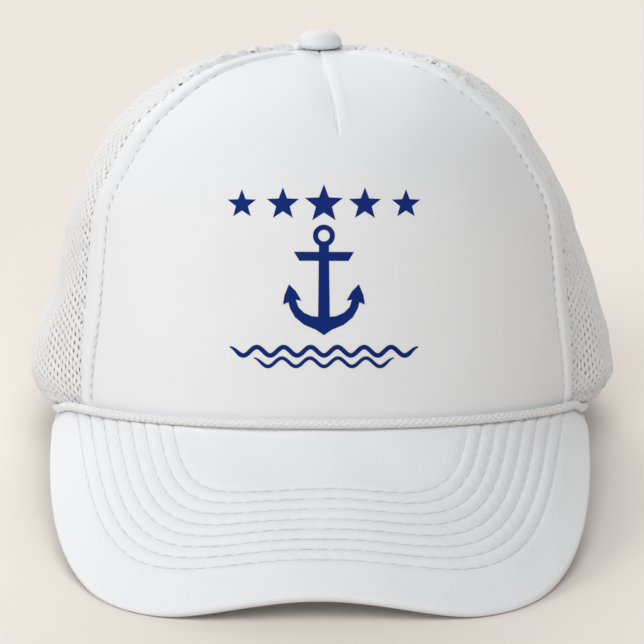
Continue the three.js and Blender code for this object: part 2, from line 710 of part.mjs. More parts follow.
const foam = material(WHITE_FOAM, 0.85);
const net = material(WHITE_NET, 0.6);
const cloth = material(WHITE_CLOTH, 0.9);
const braid = material(WHITE_CORD, 0.55);
const plastic = material(WHITE_PLASTIC, 0.35);

const archTopRow = rowAtHeight(ARCH_HEIGHT + BINDING_WIDTH + 2 * GAP, 180);

const PIECES = {
  front_panel: [frontPanel(), foam],
  side_panel_left: [sidePanel(-1), net],
  side_panel_right: [sidePanel(1), net],
  back_panel_left: [backPanel(-1), net],
  back_panel_right: [backPanel(1), net],
  peak: [peak(), foam],
  peak_cord: [cord(), braid],
  top_button: [topButton(), foam],
  sweatband: [sweatband(), cloth],
  arch_binding: [archBinding(), cloth],
  seam_tape_left: [seamTape(-BACK_SEAM_ANGLE, TAPE_FIRST_ROW), cloth],
  seam_tape_right: [seamTape(BACK_SEAM_ANGLE, TAPE_FIRST_ROW), cloth],
  seam_tape_back: [seamTape(180, archTopRow), cloth],
  snap_strap_holes: [strapWithHoles(-1), plastic],
  snap_strap_pegs: [strapWithPegs(1), plastic],
};

const hat = new THREE.Group();
for (const [name, [geometry, finish]] of Object.entries(PIECES)) {
  const mesh = new THREE.Mesh(settle(geometry), finish);
  mesh.name = name;
  hat.add(mesh);
}

// The origin is on the floor under the middle of the hat's outline.
const middle = new THREE.Box3().setFromObject(hat).getCenter(new THREE.Vector3());
hat.position.set(-middle.x, -middle.y, 0);

export default hat;
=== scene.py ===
import math

import bpy
import numpy as np
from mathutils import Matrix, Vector
from mathutils.geometry import delaunay_2d_cdt


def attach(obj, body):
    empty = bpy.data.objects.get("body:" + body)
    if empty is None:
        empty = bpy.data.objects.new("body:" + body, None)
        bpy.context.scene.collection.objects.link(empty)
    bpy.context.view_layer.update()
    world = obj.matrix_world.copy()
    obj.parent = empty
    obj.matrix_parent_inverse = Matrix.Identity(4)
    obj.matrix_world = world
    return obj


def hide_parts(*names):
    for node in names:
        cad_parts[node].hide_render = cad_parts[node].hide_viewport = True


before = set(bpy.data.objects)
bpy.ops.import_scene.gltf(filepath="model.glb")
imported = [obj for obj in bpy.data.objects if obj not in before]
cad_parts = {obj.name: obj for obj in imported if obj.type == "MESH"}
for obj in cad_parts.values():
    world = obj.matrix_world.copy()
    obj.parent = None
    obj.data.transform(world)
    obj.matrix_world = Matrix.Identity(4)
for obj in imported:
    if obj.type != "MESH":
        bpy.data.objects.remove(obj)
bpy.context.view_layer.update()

MM = 0.001
rng = np.random.default_rng(11)

# Camera: long lens, a little above the hat, at the photograph's angle
PHOTO = 644
CAMERA_ELEVATION = math.radians(22)
CAMERA_DISTANCE = 1500.0
PIXELS_PER_MM = 2.91
AIM = np.array([-0.43, 0.0, 60.0])
AIM_PIXEL = np.array([320.0, 303.0])
FORWARD = np.array([0, math.cos(CAMERA_ELEVATION), -math.sin(CAMERA_ELEVATION)])
UPWARD = np.array([0, math.sin(CAMERA_ELEVATION), math.cos(CAMERA_ELEVATION)])

# The crown, in mm with its rim level, as in the solid model
RIM_SIDE, RIM_FRONT, RIM_BACK, CROWN, HOLE = 93.0, 98.0, 98.0, 121.5, 3.2
FRONT_ARCH, NET_PUFF, PUFF_AT_BACK = 9.0, 9.0, 0.3
LEVEL, SIDE, FRONT, BACK, PUFF, SEAM = range(6)
SECTIONS = np.array([
    [0, 1, 1, 1, 0.63, 60.6],
    [0.03, 1.002, 1, 1.001, 0.87, 60.8],
    [0.08, 1.003, 0.999, 1.001, 1.17, 61],
    [0.15, 1.001, 0.997, 0.998, 1.06, 61.2],
    [0.23, 0.993, 0.992, 0.988, 0.92, 61.2],
    [0.34, 0.972, 0.982, 0.962, 0.67, 61.6],
    [0.47, 0.951, 0.96, 0.915, 0.3, 62.3],
    [0.6, 0.916, 0.925, 0.845, 0, 63.3],
    [0.72, 0.83, 0.858, 0.748, 0, 62.8],
    [0.82, 0.738, 0.757, 0.636, 0, 62.4],
    [0.9, 0.602, 0.62, 0.507, 0, 62.2],
    [0.955, 0.475, 0.462, 0.385, 0, 63.5],
    [0.985, 0.31, 0.285, 0.25, 0, 69],
    [1, 0, 0, 0, 0, 90],
])
TOP = len(SECTIONS) - 1
SHIFT = 3.6
FOLDS = [(-84, 9, 9.6, 1.1, -1.5), (-108, 11, 8.2, 1.6, 1.2), (-146, 12, 7.4, 1.8, -1.6),
         (-86, 16, 4.9, 1.5, -3.4), (-86, 16, 2, 1.4, -0.9),
         (82, 10, 8.6, 1.4, -1.2), (104, 12, 9.8, 1.3, 1.1), (148, 13, 8, 1.8, -1.5)]
FOAM, NET, SINK = 3.0, 1.2, 0.6
BACK_SEAM = 121.0
LEAN, LIFT, MIDDLE = math.radians(11.2043204), 16.164725, (0.429646, -25.899712)

# Peak and cord
PEAK_REACH, PEAK_END, PEAK_OVERHANG, PEAK_POWER, PEAK_THICK, PEAK_UNDER = 52.0, 75.0, 1.8, 3.5, 3.6, 2.6
PEAK_SLOPES, PEAK_TURN = (41.0, 43.0), 25.0
CORD_RADIUS, GAP = 1.5, 0.3

# Back arch
ARCH_WIDE, ARCH_TALL, BINDING = 40.0, 48.0, 5.0


def smooth(x, low, high):
    t = np.clip((x - low) / (high - low), 0, 1)
    return t * t * (3 - 2 * t)


def table(col, row):
    row = np.asarray(row, float)
    i = np.clip(np.floor(row).astype(int), 0, TOP - 1)
    t = np.clip(row - i, 0, 1)
    v = SECTIONS[:, col]
    a, b, c, d = (v[np.clip(i + k, 0, TOP)] for k in (-1, 0, 1, 2))
    return b + 0.5 * t * (c - a + t * (2 * a - 5 * b + 4 * c - d + t * (3 * (b - c) + d - a)))


def hem(angle):
    off = np.abs(angle)
    dip = 1.3 * smooth(off, 60, 82) * (1 - smooth(off, 95, 125))
    return FRONT_ARCH * np.maximum(np.cos(np.radians(angle)), 0) - dip


def tuck(angle):
    return smooth(np.abs(angle), 62, 73)


def smooth_reach(angle, row):
    front = np.abs(angle) < 90
    side = HOLE + (RIM_SIDE - HOLE) * table(SIDE, row)
    ahead = HOLE + (RIM_FRONT - HOLE) * table(FRONT, row)
    behind = HOLE + (RIM_BACK - HOLE) * table(BACK, row)
    along = np.where(front, ahead, behind)
    power = np.where(front, 2.15, 2.0)
    s, c = np.abs(np.sin(np.radians(angle))), np.abs(np.cos(np.radians(angle)))
    return ((s / side) ** power + (c / along) ** power) ** (-1 / power)


def reach(angle, row):
    off = np.abs(angle)
    seam = np.minimum(table(SEAM, row) + SHIFT * np.sign(angle), 89)
    rise = smooth(off, seam, 90)
    share = rise * (1 + (PUFF_AT_BACK - 1) * smooth(off, 115, 160))
    return smooth_reach(angle, row) + NET_PUFF * table(PUFF, row) * share


def polar(angle, r, z):
    a = np.radians(angle)
    r, z = np.broadcast_arrays(r, z)
    return np.stack(np.broadcast_arrays(r * np.sin(a), -r * np.cos(a), z), -1)


def base(angle, row):
    h = hem(angle)
    return polar(angle, reach(angle, row), h + (CROWN - h) * table(LEVEL, row))


def unit(v):
    return v / np.maximum(np.linalg.norm(v, axis=-1, keepdims=True), 1e-12)


def crown_normal(angle, row):
    across = base(angle + 0.05, row) - base(angle - 0.05, row)
    above = np.minimum(row + 0.05, TOP)
    return unit(np.cross(across, base(angle, above) - base(angle, above - 0.1)))


def crown(angle, row, out=0.0):
    angle, row, out = np.broadcast_arrays(angle, row, out)
    return base(angle, row) + crown_normal(angle, row) * out[..., None]


def row_at(height, angle):
    low, high = np.zeros(np.shape(angle)), np.full(np.shape(angle), float(TOP))
    for _ in range(36):
        middle = (low + high) / 2
        under = base(angle, middle)[..., 2] < height
        low, high = np.where(under, middle, low), np.where(under, high, middle)
    return low


def settle(p):
    """From mm with the rim level to metres as the hat lies."""
    p = np.asarray(p, float)
    c, s = math.cos(LEAN), math.sin(LEAN)
    x = p[..., 0] - MIDDLE[0]
    y = p[..., 1] * c + p[..., 2] * s - MIDDLE[1]
    z = -p[..., 1] * s + p[..., 2] * c + LIFT
    z = np.where(z < 1.5, 1.5 - 1.5 * np.tanh((1.5 - z) / 1.5), z)
    return np.stack([x, y, np.maximum(z, 0)], -1) * MM


def pixels(p):
    """Where points of the resting hat, in metres, fall in the photograph."""
    d = p / MM - AIM
    z = CAMERA_DISTANCE + d @ FORWARD
    k = CAMERA_DISTANCE / z * PIXELS_PER_MM
    return np.stack([AIM_PIXEL[0] + d[..., 0] * k, AIM_PIXEL[1] - (d @ UPWARD) * k], -1)


def waves(p, scale, seed):
    """Smooth noise in about -1 to 1 from a few sine waves."""
    r = np.random.default_rng(seed)
    total = np.zeros(p.shape[:-1])
    for _ in range(7):
        k = r.normal(size=p.shape[-1])
        k *= (0.6 + r.random()) * 2 * math.pi / (scale * np.linalg.norm(k))
        total += np.sin(p @ k + r.random() * 6.283)
    return total / 3.2


def lengths(points):
    step = np.linalg.norm(np.diff(points, axis=0), axis=-1)
    return np.concatenate([[0], np.cumsum(step)])


def grid_faces(nu, nv, closed_v=False):
    u, v = np.meshgrid(np.arange(nu - 1), np.arange(nv if closed_v else nv - 1), indexing="ij")
    n = (v + 1) % nv
    return np.stack([u * nv + v, (u + 1) * nv + v, (u + 1) * nv + n, u * nv + n], -1).reshape(-1, 4)


class Build:
    """Gathers vertices, faces and texture places in mm of one piece."""

    def __init__(self):
        self.verts, self.faces, self.uvs, self.count = [], [], [], 0

    def add(self, verts, faces, uv=None):
        verts = np.asarray(verts, float).reshape(-1, 3)
        if uv is None:
            uv = np.zeros((len(verts), 2))
        self.verts.append(verts)
        self.uvs.append(np.asarray(uv, float).reshape(-1, 2))
        faces = np.asarray(faces)
        if faces.shape[1] == 3:
            faces = np.concatenate([faces, np.full((len(faces), 1), -1 - self.count)], 1)
        self.faces.append(faces + self.count)
        self.count += len(verts)

    def wall(self, outer, inner, uv=None):
        """A closed wall between two grids of the same size."""
        nu, nv = outer.shape[:2]
        verts = np.concatenate([outer, inner[:, ::-1]], 1)
        faces = [grid_faces(nu, 2 * nv, True)]
        i = np.arange(nv - 1)
        for start, flip in ((0, False), ((nu - 1) * 2 * nv, True)):
            cap = np.stack([i, i + 1, 2 * nv - 2 - i, 2 * nv - 1 - i], -1) + start
            faces.append(cap[:, ::-1] if flip else cap)
        if uv is not None:
            uv = np.concatenate([uv, uv[:, ::-1]], 1)
        self.add(verts, np.concatenate(faces), uv)

    def make(self, name, material, node=None, place=True):
        verts, uvs = np.concatenate(self.verts), np.concatenate(self.uvs)
        faces = np.concatenate(self.faces)
        if place:
            verts = settle(verts)
        me = bpy.data.meshes.new(name)
        quads, tris = faces[faces[:, 3] >= 0], faces[faces[:, 3] < 0][:, :3]
        corner = np.concatenate([quads.ravel(), tris.ravel()]).astype(np.int32)
        starts = np.concatenate([np.arange(len(quads)) * 4, len(quads) * 4 + np.arange(len(tris)) * 3])
        me.vertices.add(len(verts))
        me.vertices.foreach_set("co", verts.astype(np.float32).ravel())
        me.loops.add(len(corner))
        me.loops.foreach_set("vertex_index", corner)
        me.polygons.add(len(starts))
        me.polygons.foreach_set("loop_start", starts.astype(np.int32))
        me.update(calc_edges=True)
        me.polygons.foreach_set("use_smooth", np.ones(len(starts), bool))
        layer = me.uv_layers.new(name="UVMap")
        layer.data.foreach_set("uv", uvs[corner].astype(np.float32).ravel())
        me.materials.append(material)
        me.validate()
        me.update()
        obj = bpy.data.objects.new(name, me)
        bpy.context.scene.collection.objects.link(obj)
        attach(obj, "root")
        if node:
            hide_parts(*([node] if isinstance(node, str) else node))
        return obj


def tube(build, centre, normal, half_wide, half_tall, sides=8):
    """A tube of oval section along a path, wide across it and tall along its normals."""
    tangent = unit(np.gradient(centre, axis=0))
    normal = unit(normal - tangent * (normal * tangent).sum(-1, keepdims=True))
    side = np.cross(tangent, normal)
    a = np.linspace(0, 2 * math.pi, sides, endpoint=False)
    wide = np.broadcast_to(half_wide, len(centre))[:, None, None]
    tall = np.broadcast_to(half_tall, len(centre))[:, None, None]
    across, above = side[:, None] * np.cos(a)[:, None] * wide, normal[:, None] * np.sin(a)[:, None] * tall
    ring = centre[:, None] + across + above
    s = lengths(centre)
    uv = np.stack(np.broadcast_arrays(s[:, None], (a / (2 * math.pi) * 4)[None]), -1)
    build.add(ring, grid_faces(len(centre), sides, True), uv)


def stitches(build, path, normal, pitch, share=0.74, radius=0.2, bow=0.22, sink=-0.12, jitter=0.06):
    """A row of sewn stitches along a path, each a short bowed thread."""
    s = lengths(path)
    count = int(s[-1] / pitch)
    if count < 1:
        return
    steps = np.linspace(0, 1, 6)
    first = (np.arange(count) + 0.5 - share / 2 + rng.uniform(-jitter, jitter, count)) * pitch
    at = first[:, None] + steps * share * pitch
    mix = lambda v: np.stack([np.interp(at, s, v[:, k]) for k in range(3)], -1)
    centre, up = mix(path), unit(mix(normal))
    centre = centre + up * (sink + bow * (1 - (2 * steps - 1) ** 2))[None, :, None]
    tangent = unit(np.gradient(centre, axis=1))
    side = np.cross(tangent, up)
    a = np.linspace(0, 2 * math.pi, 6, endpoint=False)
    r = radius * np.array([0.35, 0.9, 1, 1, 0.9, 0.35])[None, :, None, None]
    round_it = side[:, :, None] * np.cos(a)[:, None] + up[:, :, None] * np.sin(a)[:, None]
    ring = centre[:, :, None] + r * round_it
    one = grid_faces(6, 6, True)
    faces = (one[None] + (np.arange(count) * 36)[:, None, None]).reshape(-1, 4)
    uv = np.stack(np.broadcast_arrays(at[:, :, None], a / 6.283), -1)
    build.add(ring, faces, uv)


# Materials. Texture places are in mm along the cloth.
def shader(name, color, roughness, sheen=0.0, specular=0.5):
    m = bpy.data.materials.new(name)
    m.use_nodes = True
    nodes, links = m.node_tree.nodes, m.node_tree.links
    bsdf = nodes["Principled BSDF"]
    bsdf.inputs["Base Color"].default_value = (*color, 1)
    bsdf.inputs["Roughness"].default_value = roughness
    bsdf.inputs["Sheen Weight"].default_value = sheen
    bsdf.inputs["Specular IOR Level"].default_value = specular
    return m, nodes, links, bsdf


def link_math(nodes, links, operation, a, b=None):
    n = nodes.new("ShaderNodeMath")
    n.operation = operation
    for socket, value in zip(n.inputs, (a, b)):
        if value is None:
            continue
        if isinstance(value, (int, float)):
            socket.default_value = value
        else:
            links.new(value, socket)
    return n.outputs[0]


def fabric(name, color, roughness=0.85, sheen=0.15, rib=0.8, course=0.55, depth=0.045, blotch=0.03,
           specular=0.25, diagonal=0.0):
    """Knitted or woven cloth: ribs across, courses along, and a little uneven colour."""
    m, nodes, links, bsdf = shader(name, color, roughness, sheen, specular)
    calc = lambda operation, a, b=None: link_math(nodes, links, operation, a, b)
    uv = nodes.new("ShaderNodeUVMap").outputs[0]
    split = nodes.new("ShaderNodeSeparateXYZ")
    links.new(uv, split.inputs[0])
    u, v = split.outputs[0], split.outputs[1]
    if diagonal:
        u = calc("ADD", u, calc("MULTIPLY", v, diagonal))
    sine = lambda x, pitch: calc("SINE", calc("MULTIPLY", x, 2 * math.pi / pitch))
    ribs, courses = sine(u, rib), sine(v, course)
    weave = calc("ADD", calc("MULTIPLY", ribs, 0.55),
                 calc("MULTIPLY", calc("MULTIPLY", ribs, courses), 0.45))
    coord = nodes.new("ShaderNodeTexCoord").outputs["Object"]
    fuzz = nodes.new("ShaderNodeTexNoise")
    fuzz.inputs["Scale"].default_value = 2600
    fuzz.inputs["Detail"].default_value = 3
    links.new(coord, fuzz.inputs["Vector"])
    height = calc("ADD", weave, calc("MULTIPLY", fuzz.outputs[0], 0.9))
    bump = nodes.new("ShaderNodeBump")
    bump.inputs["Strength"].default_value = 1.0
    bump.inputs["Distance"].default_value = depth * MM
    links.new(height, bump.inputs["Height"])
    links.new(bump.outputs[0], bsdf.inputs["Normal"])
    patch = nodes.new("ShaderNodeTexNoise")
    patch.inputs["Scale"].default_value = 60
    patch.inputs["Detail"].default_value = 4
    links.new(coord, patch.inputs["Vector"])
    ramp = nodes.new("ShaderNodeMixRGB")
    ramp.inputs[1].default_value = (*[c * (1 - blotch) for c in color], 1)
    ramp.inputs[2].default_value = (*[min(1, c * (1 + blotch * 0.4)) for c in color], 1)
    tone = calc("ADD", calc("MULTIPLY", patch.outputs[0], 0.8),
                calc("MULTIPLY", weave, 0.18))
    links.new(tone, ramp.inputs[0])
    links.new(ramp.outputs[0], bsdf.inputs["Base Color"])
    rough = calc("ADD", calc("MULTIPLY", fuzz.outputs[0], 0.12), roughness - 0.06)
    links.new(rough, bsdf.inputs["Roughness"])
    return m


def let_through(m, color, share):
    """Thin cloth that glows a little where light falls on its other side."""
    nodes, links = m.node_tree.nodes, m.node_tree.links
    back = nodes.new("ShaderNodeBsdfTranslucent")
    back.inputs["Color"].default_value = (*color, 1)
    mix = nodes.new("ShaderNodeMixShader")
    mix.inputs[0].default_value = share
    links.new(nodes["Principled BSDF"].outputs[0], mix.inputs[1])
    links.new(back.outputs[0], mix.inputs[2])
    links.new(mix.outputs[0], nodes["Material Output"].inputs["Surface"])


WHITE = (0.84, 0.85, 0.868)
PALE = (0.82, 0.825, 0.83)
cloth_front = fabric("foam_front_cloth", WHITE, rib=0.62, course=0.5, depth=0.012, blotch=0.012)
cloth_peak = fabric("peak_cloth", (0.86, 0.87, 0.888), depth=0.028, blotch=0.02)
cloth_net = fabric("net_yarn", (0.94, 0.945, 0.95), rib=0.3, course=0.22, depth=0.025, roughness=0.7, sheen=0.4,
                   specular=0.3, diagonal=0.7)
let_through(cloth_net, (0.95, 0.95, 0.95), 0.1)
cloth_band = fabric("band_twill", PALE, rib=0.7, course=0.5, depth=0.06, diagonal=1.0)
cloth_tape = fabric("tape_cloth", PALE, rib=3.0, course=0.9, depth=0.05)
cloth_button = fabric("button_cloth", WHITE, rib=0.9, course=0.8, blotch=0.05)
yarn_cord = fabric("cord_yarn", (0.9, 0.9, 0.9), rib=0.32, course=0.5, depth=0.05, blotch=0.02, roughness=0.45,
                   sheen=0.1, specular=0.5, diagonal=0.3)
thread = fabric("sewing_thread", (0.8, 0.805, 0.81), rib=0.3, course=0.25, depth=0.03, roughness=0.55,
                specular=0.4, diagonal=0.5)
# Grey thread for the roll's stitch rows, darker than the cloth: painted shade for the shadowed stitch holes along
# the groove
roll_thread_painted_shade = fabric("roll_thread_painted_shade", (0.6, 0.605, 0.61), rib=0.3, course=0.25, depth=0.03, roughness=0.7,
                     specular=0.2, diagonal=0.5)
print_ink = fabric("print_ink", (0.002, 0.022, 0.19), rib=0.62, course=0.5, depth=0.012, blotch=0.12,
                   roughness=0.7, sheen=0.0, specular=0.12)


def plastic():
    m, nodes, links, bsdf = shader("strap_plastic", (0.8, 0.8, 0.79), 0.35, 0.0, 0.5)
    bsdf.inputs["Subsurface Weight"].default_value = 0.15
    bsdf.inputs["Subsurface Scale"].default_value = 0.002
    coord = nodes.new("ShaderNodeTexCoord").outputs["Object"]
    grain = nodes.new("ShaderNodeTexNoise")
    grain.inputs["Scale"].default_value = 1500
    grain.inputs["Detail"].default_value = 2
    links.new(coord, grain.inputs["Vector"])
    bump = nodes.new("ShaderNodeBump")
    bump.inputs["Distance"].default_value = 0.02 * MM
    links.new(grain.outputs[0], bump.inputs["Height"])
    links.new(bump.outputs[0], bsdf.inputs["Normal"])
    wear = nodes.new("ShaderNodeTexNoise")
    wear.inputs["Scale"].default_value = 90
    links.new(coord, wear.inputs["Vector"])
    rough = link_math(nodes, links, "ADD", link_math(nodes, links, "MULTIPLY", wear.outputs[0], 0.2), 0.27)
    links.new(rough, bsdf.inputs["Roughness"])
    return m


strap_plastic = plastic()

# Front panel: a padded roll inside its seams, a groove of stitches, and a dart under the button
ROLL, ROLL_MORE, ROLL_LESS = 6.5, 3.6, 1.2
STITCH = 4.0


def roll_width(row):
    return ROLL + ROLL_MORE * smooth(row, 1, 5) - ROLL_LESS * smooth(row, 8, 11)


def rows_by_length(angle, count, low=0.0, high=TOP):
    """Rows spaced evenly along the crown at an angle."""
    fine = np.linspace(low, high, 900)
    s = lengths(base(np.full(900, float(angle)), fine))
    return np.interp(np.linspace(0, s[-1], count), s, fine)


# The dart's angle at rows up the crown
DART_LINE = np.array([[8.6, 5.5], [9.46, 4.95], [10.19, 4.5], [10.75, 3.8], [11.75, 2.8], [12.4, 2.6],
                      [13, 2.6]])


def dart_line(row):
    return np.interp(row, DART_LINE[:, 0], DART_LINE[:, 1])


def roll_path(side, rows, across=1.0):
    seam = table(SEAM, rows)
    r = reach(side * seam + SHIFT, rows)
    width = np.minimum(np.degrees(roll_width(rows) / r), seam * 0.4)
    return side * (seam - width * across) + SHIFT


def front_out(angle, row):
    """How far the front panel's face stands out from the plain crown."""
    seam = table(SEAM, row)
    r = reach(angle, row)
    inside = np.radians(seam - np.abs(angle - SHIFT)) * r
    width = np.minimum(roll_width(row), np.radians(seam * 0.4) * r)
    x = np.clip(inside, 0, None) / width
    fade = smooth(row, 0.0, 1.0) * smooth(r, 9, 17)
    swell = 1.05 * np.sin(math.pi * np.clip(x, 0, 1)) ** 0.65
    swell = swell - 1.0 * np.exp(-x / 0.07) - 1.2 * np.exp(-((x - 1) / 0.09) ** 2)
    swell = swell + 0.12 * np.exp(-((x - 1.25) / 0.14) ** 2)
    height = table(LEVEL, row) * CROWN
    along = height * 1.12 + np.where(angle > 0, 1.7, 0.0)
    pull = np.cos(2 * math.pi * along / STITCH)
    swell = swell - 0.4 * (pull + 1) * np.exp(-((x - 1) / 0.12) ** 2)
    swell = swell + 0.05 * pull * np.exp(-((x - 0.5) / 0.3) ** 2)
    out = swell * fade
    line = dart_line(row)
    d = np.radians(angle - line) * r
    deep = smooth(row, 9.0, 10.2) * (1 - 0.45 * smooth(row, 10.2, 12.2)) * smooth(r, 4, 8)
    left = np.exp(-np.abs(d) / 4.2)
    right = np.exp(-np.abs(d) / 0.3) - 0.12 * np.exp(-((d - 3.0) / 1.5) ** 2)
    out = out - 1.9 * deep * np.where(d < 0, left, right)
    crease = 1.1 * smooth(row, 9.0, 9.4) * (1 - 0.5 * smooth(row, 10.5, 12))
    out = out - crease * np.exp(-((d + 0.35) / 0.35) ** 2)
    p = np.stack([np.radians(angle) * r, height], -1)
    return out + 0.22 * waves(p, 46, 5) * smooth(row, 0, 2) * smooth(x, 0.9, 2.5)


def front_panel():
    b = Build()
    rows = rows_by_length(0, 150)
    edge = np.linspace(0, 1, 32) ** 1.1
    fine = np.linspace(0, 1, 2000)
    dense = np.cumsum(1 + 9 * np.exp(-((fine - 0.505) / 0.035) ** 2))
    middle = np.interp(np.linspace(0, 1, 200), (dense - dense[0]) / (dense[-1] - dense[0]), fine)[1:-1]
    seam = table(SEAM, rows)
    r = reach(seam, rows)
    zone = np.minimum(np.degrees(14.0 / r), seam * 0.55)
    left = -seam[None] + zone[None] * edge[:, None] + np.degrees(0.15 / r)[None] * (1 - edge[:, None])
    right = -left[::-1]
    inner = left[-1][None] + (right[0] - left[-1])[None] * middle[:, None]
    angle = np.concatenate([left, inner, right]) + SHIFT
    row = np.broadcast_to(rows, angle.shape)
    out = front_out(angle, row)
    face = crown(angle, row, out)
    lining = crown(angle, row, -FOAM - 0.35 * np.maximum(-out, 0))
    u = np.radians(angle) * reach(angle, row)
    v = np.broadcast_to(lengths(base(np.zeros(len(rows)), rows)), angle.shape)
    b.wall(face, lining, np.stack([u, v], -1))
    obj = b.make("front_panel_foam", cloth_front, "front_panel")
    t = Build()
    for side in (-1, 1):
        run = rows_by_length(60 * side, 500, 0.9, TOP - 0.95)
        a = roll_path(side, run)
        face = crown(a, run, front_out(a, run))
        stitches(t, face, crown_normal(a, run), STITCH, share=0.62, radius=0.2, bow=0.1, sink=0.95)
    return t


roll_threads = front_panel()
panel_threads = Build()

# Net: real openings in rows that step by half a pitch
NET_PITCH_X, NET_PITCH_Y, NET_HALF = 2.8, 3.15, 0.48
HEM = 5.2


def fold_out(angle, row):
    total = np.zeros(np.shape(angle))
    for at, wide, r, tall, out in FOLDS:
        total = total + out * np.exp(-((angle - at) / wide) ** 2 - ((row - r) / tall) ** 2)
    return total


class Gore:
    """A net panel between two seams, laid out flat in mm: x across from its middle, t up from the hem."""

    def __init__(self, first, last, side):
        self.rows = np.linspace(0, TOP - 0.1, 500)
        self.first, self.last, self.side = first(self.rows), last(self.rows), side
        mid = (self.first + self.last) / 2
        self.t = lengths(base(mid, self.rows))
        u = np.linspace(0, 1, 61)
        angle = self.first[:, None] + (self.last - self.first)[:, None] * u
        p = base(angle, self.rows[:, None])
        s = np.concatenate([np.zeros((500, 1)), np.cumsum(np.linalg.norm(np.diff(p, axis=1), axis=-1), 1)], 1)
        half = np.array([np.interp(0.5, u, line) for line in s])
        self.x = s - half[:, None]
        self.low, self.high = self.x[:, 0], self.x[:, -1]
        even = [(line - line[0]) / (line[-1] - line[0]) for line in self.x]
        self.share = np.array([np.interp(u, line, u) for line in even])

    def limits(self, t):
        return np.interp(t, self.t, self.low), np.interp(t, self.t, self.high)

    def place(self, x, t):
        k = np.interp(t, self.t, np.arange(500.0))
        row = np.interp(t, self.t, self.rows)
        low, high = self.limits(t)
        u = np.clip((x - low) / (high - low), 0, 1)
        i = np.clip(k.astype(int), 0, 498)
        j = np.clip((u * 60).astype(int), 0, 59)
        f, g = k - i, u * 60 - j
        sh = self.share
        below = sh[i, j] * (1 - g) + sh[i, j + 1] * g
        above = sh[i + 1, j] * (1 - g) + sh[i + 1, j + 1] * g
        share = below * (1 - f) + above * f
        first, last = np.interp(t, self.t, self.first), np.interp(t, self.t, self.last)
        return first + (last - first) * share, row

    def point(self, x, t, out):
        angle, row = self.place(x, t)
        low, high = self.limits(t)
        near = np.minimum(x - low, high - x)
        share = np.clip((x - low) / (high - low), 0, 1)
        slack = fold_out(angle, row) * np.sqrt(np.clip(np.sin(math.pi * share), 0, 1))
        p2 = np.stack([x, t], -1)
        pucker = 0.5 * np.exp(-np.abs(near - 3.5) / 4) * np.sin(t * 0.74 + 2.2 * waves(p2, 30, 8))
        pucker = pucker * smooth(near, 0, 2)
        soft = 0.35 * waves(p2, 26, 9 if self.side > 0 else 10) * smooth(near, 0, 12)
        calm = smooth(t, 0, 14) * smooth(reach(angle, row), 9, 22)
        gather = 0.0
        if abs(self.first[0] + self.last[0]) < 300:
            ahead = x - low if self.side > 0 else high - x
            gather = smooth(row, 9.4, 11.4) * (1 - np.exp(-ahead / 0.8)) * np.exp(-(ahead / 9) ** 2)
            tall = 3.2 if self.side < 0 else 2.4
            gather = gather * (tall + 0.3 * np.sin(2 * math.pi * t / 6.3 + 3 * waves(p2, 9, 12)))
        return crown(angle, row, slack - SINK - NET / 2 + (pucker + soft) * calm + gather + out)


def inside_arch(x, z, grow):
    return (x / (ARCH_WIDE + grow)) ** 2 + (z / (ARCH_TALL + grow)) ** 2 < 1


